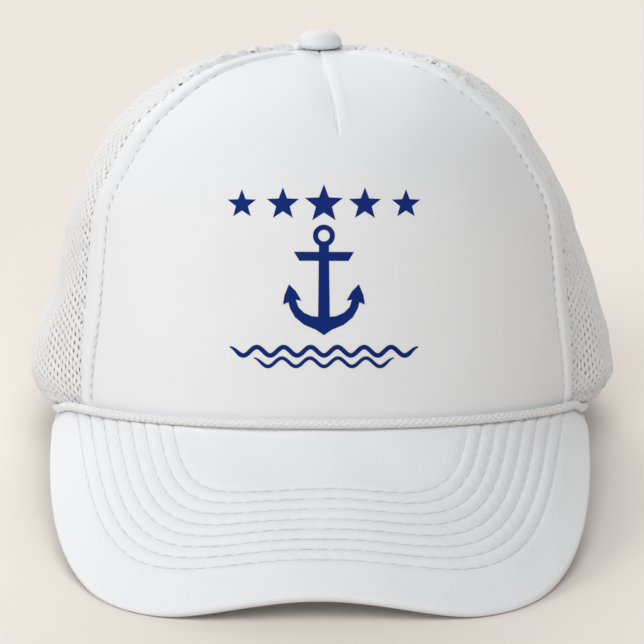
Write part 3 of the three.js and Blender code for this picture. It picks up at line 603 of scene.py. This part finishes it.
def net_panel(name, gore, node, arched=False):
    b = Build()
    px, py = NET_PITCH_X, NET_PITCH_Y
    columns = np.arange(-40, 41)
    lines = np.arange(0, 70)
    ci, cj = np.meshgrid(columns, lines, indexing="ij")
    cx = ci * px
    ct = 0.9 + (cj + 0.5 * (ci % 2)) * py
    cx, ct = cx.ravel(), ct.ravel()
    low, high = gore.limits(ct)
    keep = (ct < gore.t[-1] - 1) & (cx > low - 0.9) & (cx < high + 0.9)
    if arched:
        angle, row = gore.place(cx, ct)
        p = base(angle, row)
        keep &= ~inside_arch(p[:, 0], p[:, 2], 2.0)
    cx, ct = cx[keep], ct[keep]
    corner_x = (py * py / 4 + px * px - py * py / 2) / (2 * px)
    tip_x = (py * py / 4 + px * px) / (2 * px)
    six = np.array([[tip_x, 0], [corner_x, py / 2], [-corner_x, py / 2],
                    [-tip_x, 0], [-corner_x, -py / 2], [corner_x, -py / 2]])
    outer = np.empty((12, 2))
    outer[0::2] = six
    outer[1::2] = (six + np.roll(six, -1, 0)) / 2
    a = np.arctan2(outer[:, 1], outer[:, 0])
    n = len(cx)
    size = (1 + rng.normal(0, 0.05, n)) * (1 - 0.8 * smooth(gore.place(cx, ct)[1], 10.3, 11.3))
    rim = np.stack([0.4 * np.cos(a), 0.6 * np.sin(a)], -1)[None] * size[:, None, None]
    rim = rim + rng.normal(0, 0.04, (n, 1, 2))
    centre = np.stack([cx, ct], -1)[:, None]
    ring0 = centre + outer[None]
    ring2 = centre + rim
    ring1 = ring0 * 0.42 + ring2 * 0.58
    key = np.round(ring0.reshape(-1, 2) * 500).astype(np.int64)
    _, pick, back = np.unique(key[:, 0] * 1000003 + key[:, 1], return_index=True, return_inverse=True)
    shared = ring0.reshape(-1, 2)[pick]
    back = back.reshape(n, 12)
    m = len(pick)
    flat = np.concatenate([shared, shared, ring1.reshape(-1, 2), ring2.reshape(-1, 2)])
    knot = np.tile([0.10, -0.06], 6 * n)[pick]
    lift = np.concatenate([NET_HALF + knot, -NET_HALF - knot, np.full(12 * n, NET_HALF * 0.84), np.zeros(12 * n)])
    ids = np.arange(12 * n).reshape(n, 12)
    top0, bot0, top1, rim2 = back, back + m, ids + 2 * m, ids + 2 * m + 12 * n
    quads = []
    for p, q in ((top0, top1), (top1, rim2), (rim2, bot0)):
        quads.append(np.stack([p, np.roll(p, -1, 1), np.roll(q, -1, 1), q], -1).reshape(-1, 4))
    x, t = flat[:, 0], np.clip(flat[:, 1], 0.1, gore.t[-1])
    low, high = gore.limits(t)
    x = np.clip(x, low + 0.2, high - 0.2)
    b.add(gore.point(x, t, lift), np.concatenate(quads), np.stack([x, t], -1))
    # Seam strips at both edges, and the folded hem
    t = np.linspace(0, gore.t[-1], 240)
    low, high = gore.limits(t)
    for edge, way in ((low, 1), (high, -1)):
        at_front = (edge is low) == (gore.side > 0) and not arched
        across, rise = [0.15, 0.5, 1.1, 1.7, 2.1], [-0.1, 0.4, 0.5, 0.42, 0.02]
        if at_front:
            across, rise = [0.15, 0.35, 0.6, 0.85, 1.0], [-0.3, -0.05, 0.05, 0.0, -0.3]
        across, rise = np.array(across), np.array(rise)
        x = edge[:, None] + way * across[None]
        tt = np.broadcast_to(t[:, None], x.shape)
        ok = slice(None)
        if arched:
            angle, row = gore.place(edge + way * 1.0, t)
            p = base(angle, row)
            ok = ~inside_arch(p[:, 0], p[:, 2], 2.0)
        xx, tt, rr = x[ok], tt[ok], np.broadcast_to(rise, x[ok].shape)
        b.wall(gore.point(xx, tt, 0.1 + rr), gore.point(xx, tt, -0.5 - rr * 0.3), np.stack([xx, tt], -1))
    low, high = gore.limits(np.array([0.0]))
    xs = np.linspace(low[0] + 0.15, high[0] - 0.15, 110)
    ts = np.concatenate([np.linspace(-0.1, HEM, 9), [HEM + 0.45]])
    share = (xs - low[0]) / (high[0] - low[0])
    rise = np.array([0.1, 0.0, -0.35, -0.4, -0.4, -0.4, -0.4, -0.4, -0.4, -0.5])
    lo, hi = gore.limits(ts)
    x = lo[None] + (hi - lo)[None] * share[:, None]
    tt = np.broadcast_to(ts, x.shape)
    if arched:
        angle, row = gore.place(x[:, 4], tt[:, 4])
        p = base(angle, row)
        ok = ~inside_arch(p[:, 0], p[:, 2], 1.5)
        x, tt = x[ok], tt[ok]
    rr = np.broadcast_to(rise, x.shape)
    b.wall(gore.point(x, tt, 0.15 + rr), gore.point(x, tt, np.full(x.shape, -0.7)), np.stack([x, tt], -1))
    obj = b.make(name, cloth_net, node)
    # Stitches along the hem
    x, tt = x[:, 0:1].ravel(), np.full(len(x), HEM - 0.9)
    lo, hi = gore.limits(tt)
    l0, h0 = gore.limits(np.zeros(len(tt)))
    x = lo + (x - l0) / (h0 - l0) * (hi - lo)
    path = gore.point(x, tt, 0.45)
    up = unit(gore.point(x, tt, 1.0) - gore.point(x, tt, 0.0))
    stitches(panel_threads, path, up, 3.4, share=0.72, radius=0.18, bow=0.25, sink=0.05)
    return obj


front_seam = lambda side: (lambda rows: side * table(SEAM, rows) + SHIFT)
fixed = lambda angle: (lambda rows: np.full(len(rows), float(angle)))
GORES = {
    ("net_side_left", "side_panel_left"): Gore(fixed(-BACK_SEAM), front_seam(-1), -1),
    ("net_side_right", "side_panel_right"): Gore(front_seam(1), fixed(BACK_SEAM), 1),
    ("net_back_left", "back_panel_left"): Gore(fixed(-180), fixed(-BACK_SEAM), -1),
    ("net_back_right", "back_panel_right"): Gore(fixed(BACK_SEAM), fixed(180), 1),
}
for (name, node), gore in GORES.items():
    net_panel(name, gore, node, "back" in name)

# Topstitching beside the net's seams, through the tapes inside
for angle in (-BACK_SEAM, BACK_SEAM, 180.0):
    low = 0.6 if angle != 180.0 else float(row_at(ARCH_TALL + BINDING + 1.5, np.array([180.0]))[0])
    run = rows_by_length(angle, 400, low, TOP - 1.2)
    for way in (-1, 1):
        a = angle + way * np.degrees(3.4 / reach(np.full(400, float(angle)), run))
        a = np.where(a > 180, a - 360, a)
        path = crown(a, run, fold_out(a, run) - SINK + 0.02)
        stitches(panel_threads, path, crown_normal(a, run), 3.2, radius=0.18)

# Peak
def peak_outline(turn):
    end = polar(PEAK_END, smooth_reach(np.array(PEAK_END), 0.0), 0.0)
    wide = end[0] + PEAK_OVERHANG
    long = RIM_FRONT + PEAK_REACH + end[1]
    power = 2 / PEAK_POWER
    x = wide * np.sign(turn) * np.abs(np.sin(turn)) ** power
    forward = long * np.abs(np.cos(turn)) ** power - end[1]
    return np.degrees(np.arctan2(x, forward)), np.hypot(x, forward)


def peak_slope(angle):
    turn = smooth(np.abs(angle), 0, PEAK_TURN)
    return np.radians(PEAK_SLOPES[0] + (PEAK_SLOPES[1] - PEAK_SLOPES[0]) * turn)


v = np.linspace(0, 1, 6000)
half = math.pi / 2 * v ** 3 / (v ** 3 + (1 - v) ** 3)
turn = np.concatenate([-half[:0:-1], half])
angle, away = peak_outline(turn)
s = lengths(polar(angle, away, 0.0))
turn = np.interp(np.linspace(0, s[-1], 365), s, turn)
peak_angle, peak_away = peak_outline(turn)
peak_rim = smooth_reach(peak_angle, np.zeros(len(peak_angle)))
slope = peak_slope(peak_angle)
peak_top = hem(peak_angle) - GAP - (2 * CORD_RADIUS + GAP) * tuck(peak_angle)
HALF = PEAK_THICK / 2
peak_length = (peak_away - peak_rim) / np.cos(slope) - HALF


def on_peak(along, out):
    """A point of the peak at each radius: how far out along the board, and how far above its top face."""
    r = peak_rim[:, None] + along * np.cos(slope)[:, None] + out * np.sin(slope)[:, None]
    z = peak_top[:, None] - along * np.sin(slope)[:, None] + out * np.cos(slope)[:, None]
    return polar(peak_angle[:, None], r, z)


ACROSS = 150
share = np.linspace(0, 1, ACROSS)
along = peak_length[:, None] * share[None]
flat = on_peak(along, 0.0)
edge = on_peak(peak_length[:, None] + HALF, -HALF)[:, 0]
edge_d = np.empty(flat.shape[:2])
for k in range(0, len(flat), 40):
    d = np.linalg.norm(flat[k:k + 40, :, None] - edge[None, None], axis=-1)
    edge_d[k:k + 40] = d.min(-1)
# Rows of stitches: superellipses inside the laid-out board's outline
ROWS, PEAK_STITCH = 8, 5.2
SIDE_MARGIN, SIDE_STEP, FRONT_MARGIN, FRONT_STEP = 14.2, 4.85, 15.6, 4.0
ROW_SHIFT, ROW_POWER = 5.0, 4.2
laid_r = peak_rim + peak_length + HALF
laid_x, laid_y = laid_r * np.sin(np.radians(peak_angle)), laid_r * np.cos(np.radians(peak_angle))
laid_wide, laid_end = np.abs(laid_x).max(), laid_y[0]
laid_long = laid_y.max() - laid_end


def row_shape(f):
    """Row f as a superellipse: where its middle is, its half width, and its reach ahead."""
    middle = laid_end + ROW_SHIFT * np.clip(f + 2, 0, None)
    wide = laid_wide - SIDE_MARGIN - SIDE_STEP * f
    return middle, wide, laid_end + laid_long - FRONT_MARGIN - FRONT_STEP * f - middle


def beyond_row(f, x, y):
    """How far outside row f a point of the laid-out board is, and its place along the row."""
    middle, wide, ahead = row_shape(f)
    across, forward = np.abs(x) / wide, np.clip(y - middle, 0, None) / ahead
    outside = across ** ROW_POWER + forward ** ROW_POWER - 1
    place = np.degrees(np.arctan2(across ** (ROW_POWER / 2), forward ** (ROW_POWER / 2)))
    return outside, np.sign(x) * (place + np.clip(middle - y, 0, None))


board_r = peak_rim[:, None] + along
board_x, board_y = (board_r * t(np.radians(peak_angle))[:, None] for t in (np.sin, np.cos))
low, high = np.full(flat.shape[:2], -4.0), np.full(flat.shape[:2], 10.0)
for _ in range(26):
    middle = (low + high) / 2
    outside = beyond_row(middle, board_x, board_y)[0] > 0
    low, high = np.where(outside, low, middle), np.where(outside, middle, high)
stitch_row = low
row_place = beyond_row(low, board_x, board_y)[1]


def row_line(k):
    """Where row k runs: its angle, how far out along the board, and its place along the row."""
    middle, wide, ahead = row_shape(k)
    place = np.linspace(-90 - (middle - laid_end), 90 + (middle - laid_end), 700)
    round_the_front = np.radians(np.clip(place, -90, 90))
    x = wide * np.sign(place) * np.abs(np.sin(round_the_front)) ** (2 / ROW_POWER)
    y = middle + ahead * np.abs(np.cos(round_the_front)) ** (2 / ROW_POWER)
    y = y - np.clip(np.abs(place) - 90, 0, None)
    turn, r = np.degrees(np.arctan2(x, y)), np.hypot(x, y)
    return turn, r - np.interp(turn, peak_angle, peak_rim), place


def sample(grid, angle, out):
    """Values of a grid over the board at any angle and distance out."""
    i = np.clip(np.interp(angle, peak_angle, np.arange(len(peak_angle))), 0, len(peak_angle) - 1.001)
    j = np.clip(out / np.interp(angle, peak_angle, peak_length) * (ACROSS - 1), 0, ACROSS - 1.001)
    a, b = i.astype(int), j.astype(int)
    f, g = (i - a)[:, None], (j - b)[:, None]
    near = grid[a, b] * (1 - g) + grid[a, b + 1] * g
    far = grid[a + 1, b] * (1 - g) + grid[a + 1, b + 1] * g
    return near * (1 - f) + far * f


row_length = []
for k in range(ROWS):
    turn, out, place = row_line(k)
    row_length.append(lengths(sample(flat, turn, np.maximum(out, 0))))
edge_s = np.zeros(flat.shape[:2])
for k in range(ROWS):
    near = np.clip(np.round(stitch_row), 0, ROWS - 1) == k
    turn, out, place = row_line(k)
    start = np.argmax(out > 0.3)
    edge_s[near] = np.interp(row_place[near], place, row_length[k] - row_length[k][start])


def quilt(f, s):
    """Puffed ridges between eight rows of stitches."""
    between = (f > 0) & (f < 7)
    ridge = 0.52 * np.abs(np.sin(math.pi * f)) ** 0.75
    beyond = np.where(f <= 0, f, f - 7)
    outer = 0.36 * (1 - np.exp(-np.abs(beyond) / 0.35)) * np.exp(-np.clip(np.abs(beyond) - 0.5, 0, None))
    puff = np.where(between, ridge, outer)
    nearest = np.clip(np.round(f), 0, 7)
    d = (f - nearest) * FRONT_STEP
    phase = s / PEAK_STITCH
    hole = (np.cos(2 * math.pi * phase) * 0.5 + 0.5) ** 3
    puff = puff - 0.22 * hole * np.exp(-(d / 0.7) ** 2) - 0.10 * np.exp(-(d / 0.5) ** 2)
    return puff + 0.07 * np.cos(2 * math.pi * phase) * np.exp(-((np.abs(d) - 1.6) / 1.0) ** 2) * between


def peak():
    b = Build()
    fade = smooth(along, 0.0, 2.5) * smooth(peak_length[:, None] + HALF - along, 1.0, 5.0)
    p2 = np.stack([flat[..., 0], flat[..., 1]], -1)
    soft = 0.25 * waves(p2, 40, 21) * smooth(edge_d, 3, 12) * fade
    top = on_peak(along, quilt(stitch_row, edge_s) * fade + soft)
    lean = np.linspace(math.pi / 2, -math.pi / 2, 12)[1:-1]
    nose = on_peak(peak_length[:, None] + HALF * np.cos(lean)[None], (-HALF + HALF * np.sin(lean))[None])
    low_share = np.linspace(1, 0, 60)
    mitre = -PEAK_THICK * np.tan(slope / 2)[:, None]
    low_along = peak_length[:, None] * low_share + mitre * (1 - low_share)
    low_row = np.stack([np.interp(low_share, share, stitch_row[i]) for i in range(len(slope))])
    low_s = np.stack([np.interp(low_share, share, edge_s[i]) for i in range(len(slope))])
    low = on_peak(low_along, -PEAK_THICK - 0.35 * quilt(low_row, low_s) * smooth(low_along, 0, 3))
    back = peak_rim - PEAK_UNDER
    inner = np.stack([polar(peak_angle, back, peak_top - PEAK_THICK), polar(peak_angle, back, peak_top)], 1)
    loop = np.concatenate([top, nose, low, inner], 1)
    nu, nv = loop.shape[:2]
    b.add(loop, grid_faces(nu, nv, True), loop[..., :2] * [1, 1.3])
    # Ends of the board
    for end, flip in ((0, False), (nu - 1, True)):
        ring = loop[end]
        centre = ring.mean(0)
        ids = np.arange(nv)
        fan = np.stack([ids, (ids + 1) % nv, np.full(nv, nv)], -1)
        b.add(np.concatenate([ring, centre[None]]), fan[:, ::-1] if flip else fan)
    obj = b.make("peak_board", cloth_peak, "peak")
    t = Build()
    up = unit(on_peak(along, 1.0) - on_peak(along, 0.0))
    for k in range(ROWS):
        turn, out, place = row_line(k)
        ok = (out > 0.3) & (np.abs(turn) < PEAK_END)
        path, nrm = sample(top, turn[ok], out[ok]), unit(sample(up, turn[ok], out[ok]))
        stitches(t, path, nrm, PEAK_STITCH, share=0.9, radius=0.17, bow=0.16, sink=0.03)
    return t


peak_threads = peak()

# Braided cord in the crease over the peak
def cord_path(count):
    a = np.linspace(-PEAK_END - 8, PEAK_END + 8, count)
    clear = CORD_RADIUS + GAP
    top = row_at(hem(a) + clear + CORD_RADIUS / 2, a)
    rim = smooth_reach(a, np.zeros(count))
    away = np.maximum(rim, reach(a, top)) + clear - rim
    sl = peak_slope(a)
    lift = (clear - away * np.sin(sl)) / np.cos(sl) - GAP
    t = tuck(a)
    hide = smooth(np.abs(a), PEAK_END - 1, PEAK_END + 8)
    p = polar(a, rim + away + (0.6 - away) * t - 1.3 * hide, hem(a) + lift + (-clear - lift) * t + 1.3 * hide)
    out = polar(a, np.ones(count) * 0.8, np.full(count, 0.6))
    return p, unit(out)


def braided_cord():
    coarse, out = cord_path(400)
    s = lengths(coarse)
    count = int(s[-1] / 0.5)
    t = np.linspace(0, s[-1], count)
    mix = lambda v: np.stack([np.interp(t, s, v[:, k]) for k in range(3)], -1)
    centre, out = mix(coarse), unit(mix(out))
    tangent = unit(np.gradient(centre, axis=0))
    out = unit(out - tangent * (out * tangent).sum(-1, keepdims=True))
    side = np.cross(tangent, out)
    lay, middle, weave = 9.6, 1.0, 0.24
    b = Build()
    taper = np.clip(np.minimum(t, s[-1] - t) / 5.0, 0.25, 1)
    for way in (-1, 1):
        for k in range(4):
            turn = way * 2 * math.pi * t / lay + k * math.pi / 2
            r = (middle + way * weave * np.cos(8 * math.pi * t / lay)) * taper
            radial = out * np.cos(turn)[:, None] + side * np.sin(turn)[:, None]
            tube(b, centre + radial * r[:, None], radial, 0.72 * taper, 0.40 * taper, 8)
    tube(b, centre, out, 0.85 * taper, 0.85 * taper, 8)
    obj = b.make("peak_cord_braid", yarn_cord, "peak_cord")


braided_cord()

# Covered button
def turned_faces(count, n):
    """Faces of a turned shape: its last profile joins its first."""
    i = np.arange(n - 1)
    last = (count - 1) * n
    return np.concatenate([grid_faces(count, n), np.stack([last + i, i, i + 1, last + i + 1], -1)])


def button():
    b = Build()
    radius, dome, under = 7.5, 5.9, CROWN + GAP
    lean = np.radians(np.concatenate([np.linspace(-80, 0, 10)[:-1], np.linspace(0, 90, 22)]))
    r = radius * np.cos(lean) ** np.where(lean < 0, 0.62, 0.78)
    z = under + 1.7 + np.where(lean < 0, 2.0 * np.sin(lean), (dome - 1.2) * np.sin(np.abs(lean)) ** 0.96)
    r = np.concatenate([[0.01], r])
    z = np.concatenate([[z[0]], z])
    r[-1] = 0.01
    a = np.linspace(0, 360, 96, endpoint=False)
    pleat = 0.012 * np.cos(np.radians(a)[:, None] * 11 + 1) * np.exp(-((z[None] - under - 0.4) / 1.3) ** 2)
    rr = r[None] * (1 + pleat)
    p = polar(a[:, None], rr, np.broadcast_to(z, rr.shape))
    b.add(p, turned_faces(96, len(r)), p[..., :2])
    stem_r = np.array([0.01, 5.0, 5.0, 2.0, 2.0])
    stem_z = under - GAP - np.array([FOAM + 1.6, FOAM + 1.6, FOAM + 0.6, FOAM + 0.6, -GAP])
    q = polar(a[:, None], np.broadcast_to(stem_r, (96, 5)), np.broadcast_to(stem_z, (96, 5)))
    b.add(q, turned_faces(96, 5), q[..., :2])
    obj = b.make("top_button_cloth", cloth_button, "top_button")


button()

# Sweatband, binding, tapes
BIND_DEPTH = 2.4
OUTER_STRAP = BIND_DEPTH + 2 * GAP
INNER_STRAP = OUTER_STRAP + 1.2 + 0.4
POCKET = INNER_STRAP + 1.2 + GAP


def band_depth(angle, height):
    off = np.abs(angle)
    on_net, on_foam = SINK + NET + GAP, FOAM + GAP
    at_hem = on_foam + (on_net - on_foam) * smooth(off, PEAK_END, PEAK_END + 8)
    strap_end = 180 - math.degrees((ARCH_WIDE + 20) / RIM_BACK)
    pocket = on_net + (POCKET - on_net) * smooth(off, strap_end - 20, strap_end - 6)
    return np.maximum(at_hem, at_hem + (pocket - at_hem) * smooth(height, 0, 4))


def sweatband():
    b = Build()
    end = 180 - math.degrees(math.asin(ARCH_WIDE / RIM_BACK))
    angle = np.linspace(-end, end, 300)
    behind = 1 - smooth(np.abs(angle), PEAK_END - 8, PEAK_END - 1)
    low = 0.6 + (-PEAK_THICK - 0.6) * behind
    h = np.array([0, 0.02, 0.05, 0.09, 0.13, 0.18, 0.26, 0.36, 0.48, 0.6, 0.72, 0.82, 0.9, 0.95, 0.98, 1.0])
    height = low[:, None] + (30 - low[:, None]) * h
    roll = np.array([-0.35, 0.05, 0.15, 0.12, -0.18, 0, 0, 0, 0, 0, 0, 0, 0.02, 0.08, 0.05, -0.3])
    a = np.broadcast_to(angle[:, None], height.shape)
    row = row_at(hem(a) + height, a)
    r = smooth_reach(a, row) - band_depth(a, height)
    p2 = np.stack([np.radians(a) * 98, height], -1)
    soft = 0.3 * waves(p2, 30, 31) * smooth(height, 2, 10)
    outer = polar(a, r - np.maximum(soft, 0) - np.minimum(roll, 0) * -0.3, hem(a) + height)
    inner = polar(a, r - 1.2 - soft - roll, hem(a) + height)
    b.wall(outer, inner, np.stack([np.radians(a) * 98, height], -1))
    obj = b.make("sweatband_cloth", cloth_band, "sweatband")
    path = inner[:, 4]
    up = unit(inner[:, 4] - outer[:, 4])
    stitches(panel_threads, path, up, 3.2, radius=0.17)


sweatband()


def back_face(x, z):
    """The crown's back face over points seen from behind."""
    low, high = np.full(len(x), 90.0), np.full(len(x), 180.0)
    for _ in range(30):
        middle = (low + high) / 2
        px = base(middle, row_at(z, middle))[:, 0]
        low, high = np.where(px > np.abs(x), middle, low), np.where(px > np.abs(x), high, middle)
    return base(low, row_at(z, low))[:, 1]


def arch_binding():
    b = Build()
    turn = np.linspace(0, math.pi, 150)
    section = np.array([[-0.25, 0.0], [-0.2, 0.5], [0.2, 0.85], [1.2, 0.95], [2.6, 0.95],
                        [3.6, 0.7], [4.1, 0.42], [4.6, 0.85], [5.2, 0.75], [5.3, 0.1]])
    profile = np.concatenate([section, section[::-1] * [1, -1]])
    loops = []
    for across, out in profile:
        x, z = ARCH_WIDE * np.cos(turn), ARCH_TALL * np.sin(turn)
        n = unit(np.stack([x / ARCH_WIDE ** 2, z / ARCH_TALL ** 2], -1))
        x, z = x + n[:, 0] * across, z + n[:, 1] * across
        y = back_face(x, np.maximum(z, 0.05))
        loops.append(np.stack([x, y - 1.0 + out * 1.3 + 0.1, z], -1))
    p = np.stack(loops, 1)
    s = lengths(p[:, 0])
    uv = np.stack(np.broadcast_arrays(s[:, None], np.arange(len(profile))[None] * 0.6), -1)
    b.add(p, grid_faces(len(turn), len(profile), True), uv)
    obj = b.make("arch_binding_tape", cloth_tape, "arch_binding")
    behind = np.tile([0.0, 1.0, 0.0], (len(turn), 1))
    stitches(panel_threads, p[:, 6], behind, 3.0, radius=0.17, bow=0.3, sink=0.0)


arch_binding()


def tape(name, node, angle, first):
    b = Build()
    nearest = SINK + NET + GAP
    rows = rows_by_length(angle, 140, first, TOP - 1.05)
    r = reach(np.full(140, float(angle)), rows)
    half = np.minimum(np.degrees(7 / r), BACK_SEAM / 6)
    across = np.linspace(-1, 1, 15)
    a = angle + half[:, None] * across
    a = np.where(a > 180, a - 360, a)
    rr = np.broadcast_to(rows[:, None], a.shape)
    bulge = 0.15 * np.cos(across * math.pi * 2)[None]
    v = lengths(base(np.full(140, float(angle)), rows))
    uv = np.stack(np.broadcast_arrays(across * 7, v[:, None]), -1)
    b.wall(crown(a, rr, -nearest), crown(a, rr, -nearest - 0.9 - bulge), uv)
    obj = b.make(name, cloth_tape, node)


arch_top = float(row_at(ARCH_TALL + BINDING + 2 * GAP, np.array([180.0]))[0])
tape("seam_tape_cloth_left", "seam_tape_left", -BACK_SEAM, 2)
tape("seam_tape_cloth_right", "seam_tape_right", BACK_SEAM, 2)
tape("seam_tape_cloth_back", "seam_tape_back", 180.0, arch_top)

threads = panel_threads.make("panel_stitching", thread)
threads = peak_threads.make("peak_stitching", thread)
# The roll's stitches use the grey thread with painted shade
threads = roll_threads.make("roll_stitching", roll_thread_painted_shade)

# Snap strap
for name in ("snap_strap_holes", "snap_strap_pegs"):
    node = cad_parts[name]
    node.data.materials.clear()
    node.data.materials.append(strap_plastic)
    bevel = node.modifiers.new("edges", "BEVEL")
    bevel.width = 0.25 * MM
    bevel.segments = 2
    bevel.limit_method = "ANGLE"


# Print on the front: a plain anchor between a row of stars and a wave line, in the photograph's pixels
def star(cx, cy, r):
    a = np.radians(np.arange(10) * 36 - 90)
    rr = np.where(np.arange(10) % 2 == 0, r, r * 0.42)
    return np.stack([cx + rr * np.cos(a), cy + rr * np.sin(a)], -1)


def circle(cx, cy, r, n=40):
    a = np.linspace(0, 2 * math.pi, n, endpoint=False)
    return np.stack([cx + r * np.cos(a), cy + r * np.sin(a)], -1)


def ribbon(points, width):
    d = unit(np.gradient(points, axis=0))
    n = np.stack([-d[:, 1], d[:, 0]], -1) * np.broadcast_to(width, len(points))[:, None] / 2
    return np.concatenate([points + n, (points - n)[::-1]])


def anchor(cx):
    shapes = [(circle(cx, 236.5, 11), circle(cx, 236.5, 5.8))]
    shapes.append((np.array([[cx - 5, 246], [cx + 5, 246], [cx + 6, 330], [cx - 6, 330]]), None))
    stock = np.array([[cx - 30, 252.6], [cx + 30, 252.8], [cx + 24.5, 261.8], [cx - 24.5, 261.6]])
    shapes.append((stock, None))
    half = np.array([[0, 336], [8, 330.5], [20, 325.5], [29, 318], [34, 309], [35.5, 303],
                     [41, 305.5], [39.5, 296], [35, 285], [28, 292], [22.5, 301.5], [28, 300.5],
                     [25.5, 308], [20, 313.5], [12, 317], [0, 318]])
    for side in (-1, 1):
        shapes.append((np.stack([cx + side * half[:, 0], half[:, 1]], -1), None))
    return shapes


def wave_line(cx, cy, half, tall, width, count):
    x = np.linspace(cx - half, cx + half, 300)
    phase = (x - cx) / (2 * half) * count * 2 * math.pi
    y = cy + tall * np.cos(phase)
    w = width * np.clip((half - np.abs(x - cx)) / 10, 0.15, 1) ** 0.5
    return ribbon(np.stack([x, y], -1), w)


def inside(poly, p):
    x, y = p[:, 0], p[:, 1]
    hit = np.zeros(len(p), bool)
    for (x0, y0), (x1, y1) in zip(poly, np.roll(poly, -1, 0)):
        cross = ((y0 > y) != (y1 > y)) & (x < (x1 - x0) * (y - y0) / (y1 - y0 + 1e-12) + x0)
        hit ^= cross
    return hit


def to_crown(px):
    """The crown's angle and row that show at pixels of the photograph."""
    angle, row = (px[:, 0] - 322) * 0.22, np.full(len(px), 6.0)
    see = lambda a, r: pixels(settle(crown(a, r, front_out(a, r))))
    for _ in range(14):
        p = see(angle, row)
        da, dr = (see(angle + 0.1, row) - p) / 0.1, (see(angle, row + 0.02) - p) / 0.02
        det = da[:, 0] * dr[:, 1] - da[:, 1] * dr[:, 0]
        e = px - p
        angle = angle + np.clip((e[:, 0] * dr[:, 1] - e[:, 1] * dr[:, 0]) / det, -8, 8)
        row = np.clip(row + np.clip((da[:, 0] * e[:, 1] - da[:, 1] * e[:, 0]) / det, -1, 1), 0.2, TOP - 1.2)
    return angle, row


def print_shapes():
    cx = 324.0
    shapes = [(star(cx + k * 41, 205, r), None) for k, r in ((-2, 15), (-1, 17), (0, 20), (1, 17), (2, 15))]
    shapes += anchor(cx)
    shapes.append((wave_line(cx, 352, 94, 4.2, 4.6, 7), None))
    shapes.append((wave_line(cx, 363, 70, 4.2, 3.6, 5), None))
    b = Build()
    for k, (outline, hole) in enumerate(shapes):
        loops = [outline] + ([hole] if hole is not None else [])
        points, edges = [], []
        for loop in loops:
            fine = []
            for p, q in zip(loop, np.roll(loop, -1, 0)):
                n = max(1, int(np.linalg.norm(q - p) / 2.5))
                fine += [p + (q - p) * i / n for i in range(n)]
            first = len(points)
            points += fine
            edges += [(first + i, first + (i + 1) % len(fine)) for i in range(len(fine))]
        low, high = outline.min(0), outline.max(0)
        gx, gy = np.meshgrid(np.arange(low[0], high[0], 2.6), np.arange(low[1], high[1], 2.6))
        g = np.stack([gx.ravel(), gy.ravel()], -1)
        ok = inside(outline, g)
        if hole is not None:
            ok &= ~inside(hole, g)
        border = np.array(points)
        far = np.array([np.min(np.linalg.norm(border - q, axis=1)) > 1.0 for q in g]) if len(g) else ok
        points += list(g[ok & far])
        verts, _, faces, *_ = delaunay_2d_cdt([Vector(p) for p in points], edges, [], 0, 1e-4)
        flat = np.array([tuple(v) for v in verts])
        faces = np.array([f for f in faces if len(f) == 3])
        mid = flat[faces].mean(1)
        ok = inside(outline, mid)
        if hole is not None:
            ok &= ~inside(hole, mid)
        faces = faces[ok]
        a, r = to_crown(flat)
        p = crown(a, r, front_out(a, r) + 0.07 + 0.004 * k)
        uv = np.stack([np.radians(a) * reach(a, r), p[:, 2]], -1)
        b.add(p, faces, uv)
    obj = b.make("front_print", print_ink)


print_shapes()

# Floor, lights and camera
def stage():
    me = bpy.data.meshes.new("floor")
    size = 6.0
    me.from_pydata([(-size, -size, 0), (size, -size, 0), (size, size, 0), (-size, size, 0)], [], [(0, 1, 2, 3)])
    floor = bpy.data.objects.new("floor", me)
    bpy.context.scene.collection.objects.link(floor)
    m, nodes, links, bsdf = shader("floor_paper", (0.86, 0.805, 0.75), 0.95, 0.0, 0.1)
    noise = nodes.new("ShaderNodeTexNoise")
    noise.inputs["Scale"].default_value = 3
    mix = nodes.new("ShaderNodeMixRGB")
    mix.inputs[1].default_value = (0.856, 0.805, 0.747, 1)
    mix.inputs[2].default_value = (0.864, 0.813, 0.755, 1)
    links.new(noise.outputs[0], mix.inputs[0])
    links.new(mix.outputs[0], bsdf.inputs["Base Color"])
    me.materials.append(m)
    floor.location.z = -0.0002


stage()
# Soft suns: name, strength and the way to each
SUNS = [("front", 1.54, (0, -0.6, 0.8)), ("back", 1.5, (-0.12, 0.83, 0.55)), ("side", 1.06, (-0.87, -0.2, 0.45))]
SKY = 0.17
for name, power, toward in SUNS:
    sun = bpy.data.lights.new(name, "SUN")
    sun.energy = power
    sun.angle = math.radians(45)
    lamp = bpy.data.objects.new(name, sun)
    lamp.rotation_euler = (-Vector(toward)).to_track_quat("-Z", "Y").to_euler()
    bpy.context.scene.collection.objects.link(lamp)
world = bpy.data.worlds.new("studio")
world.use_nodes = True
world.node_tree.nodes["Background"].inputs[0].default_value = (1, 1, 1, 1)
world.node_tree.nodes["Background"].inputs[1].default_value = SKY
bpy.context.scene.world = world
bpy.context.scene.view_settings.view_transform = "Standard"

camera = bpy.data.cameras.new("camera")
camera.sensor_width = 36
camera.lens = CAMERA_DISTANCE * PIXELS_PER_MM * 36 / PHOTO
camera.clip_start = 0.05
camera.clip_end = 30
eye = bpy.data.objects.new("camera", camera)
shift = (PHOTO / 2 - AIM_PIXEL) / PIXELS_PER_MM
aim = AIM + np.array([shift[0], 0, 0]) - UPWARD * shift[1]
eye.location = Vector((aim - FORWARD * CAMERA_DISTANCE) * MM)
eye.rotation_euler = Vector(FORWARD).to_track_quat("-Z", "Y").to_euler()
bpy.context.scene.collection.objects.link(eye)
bpy.context.scene.camera = eye
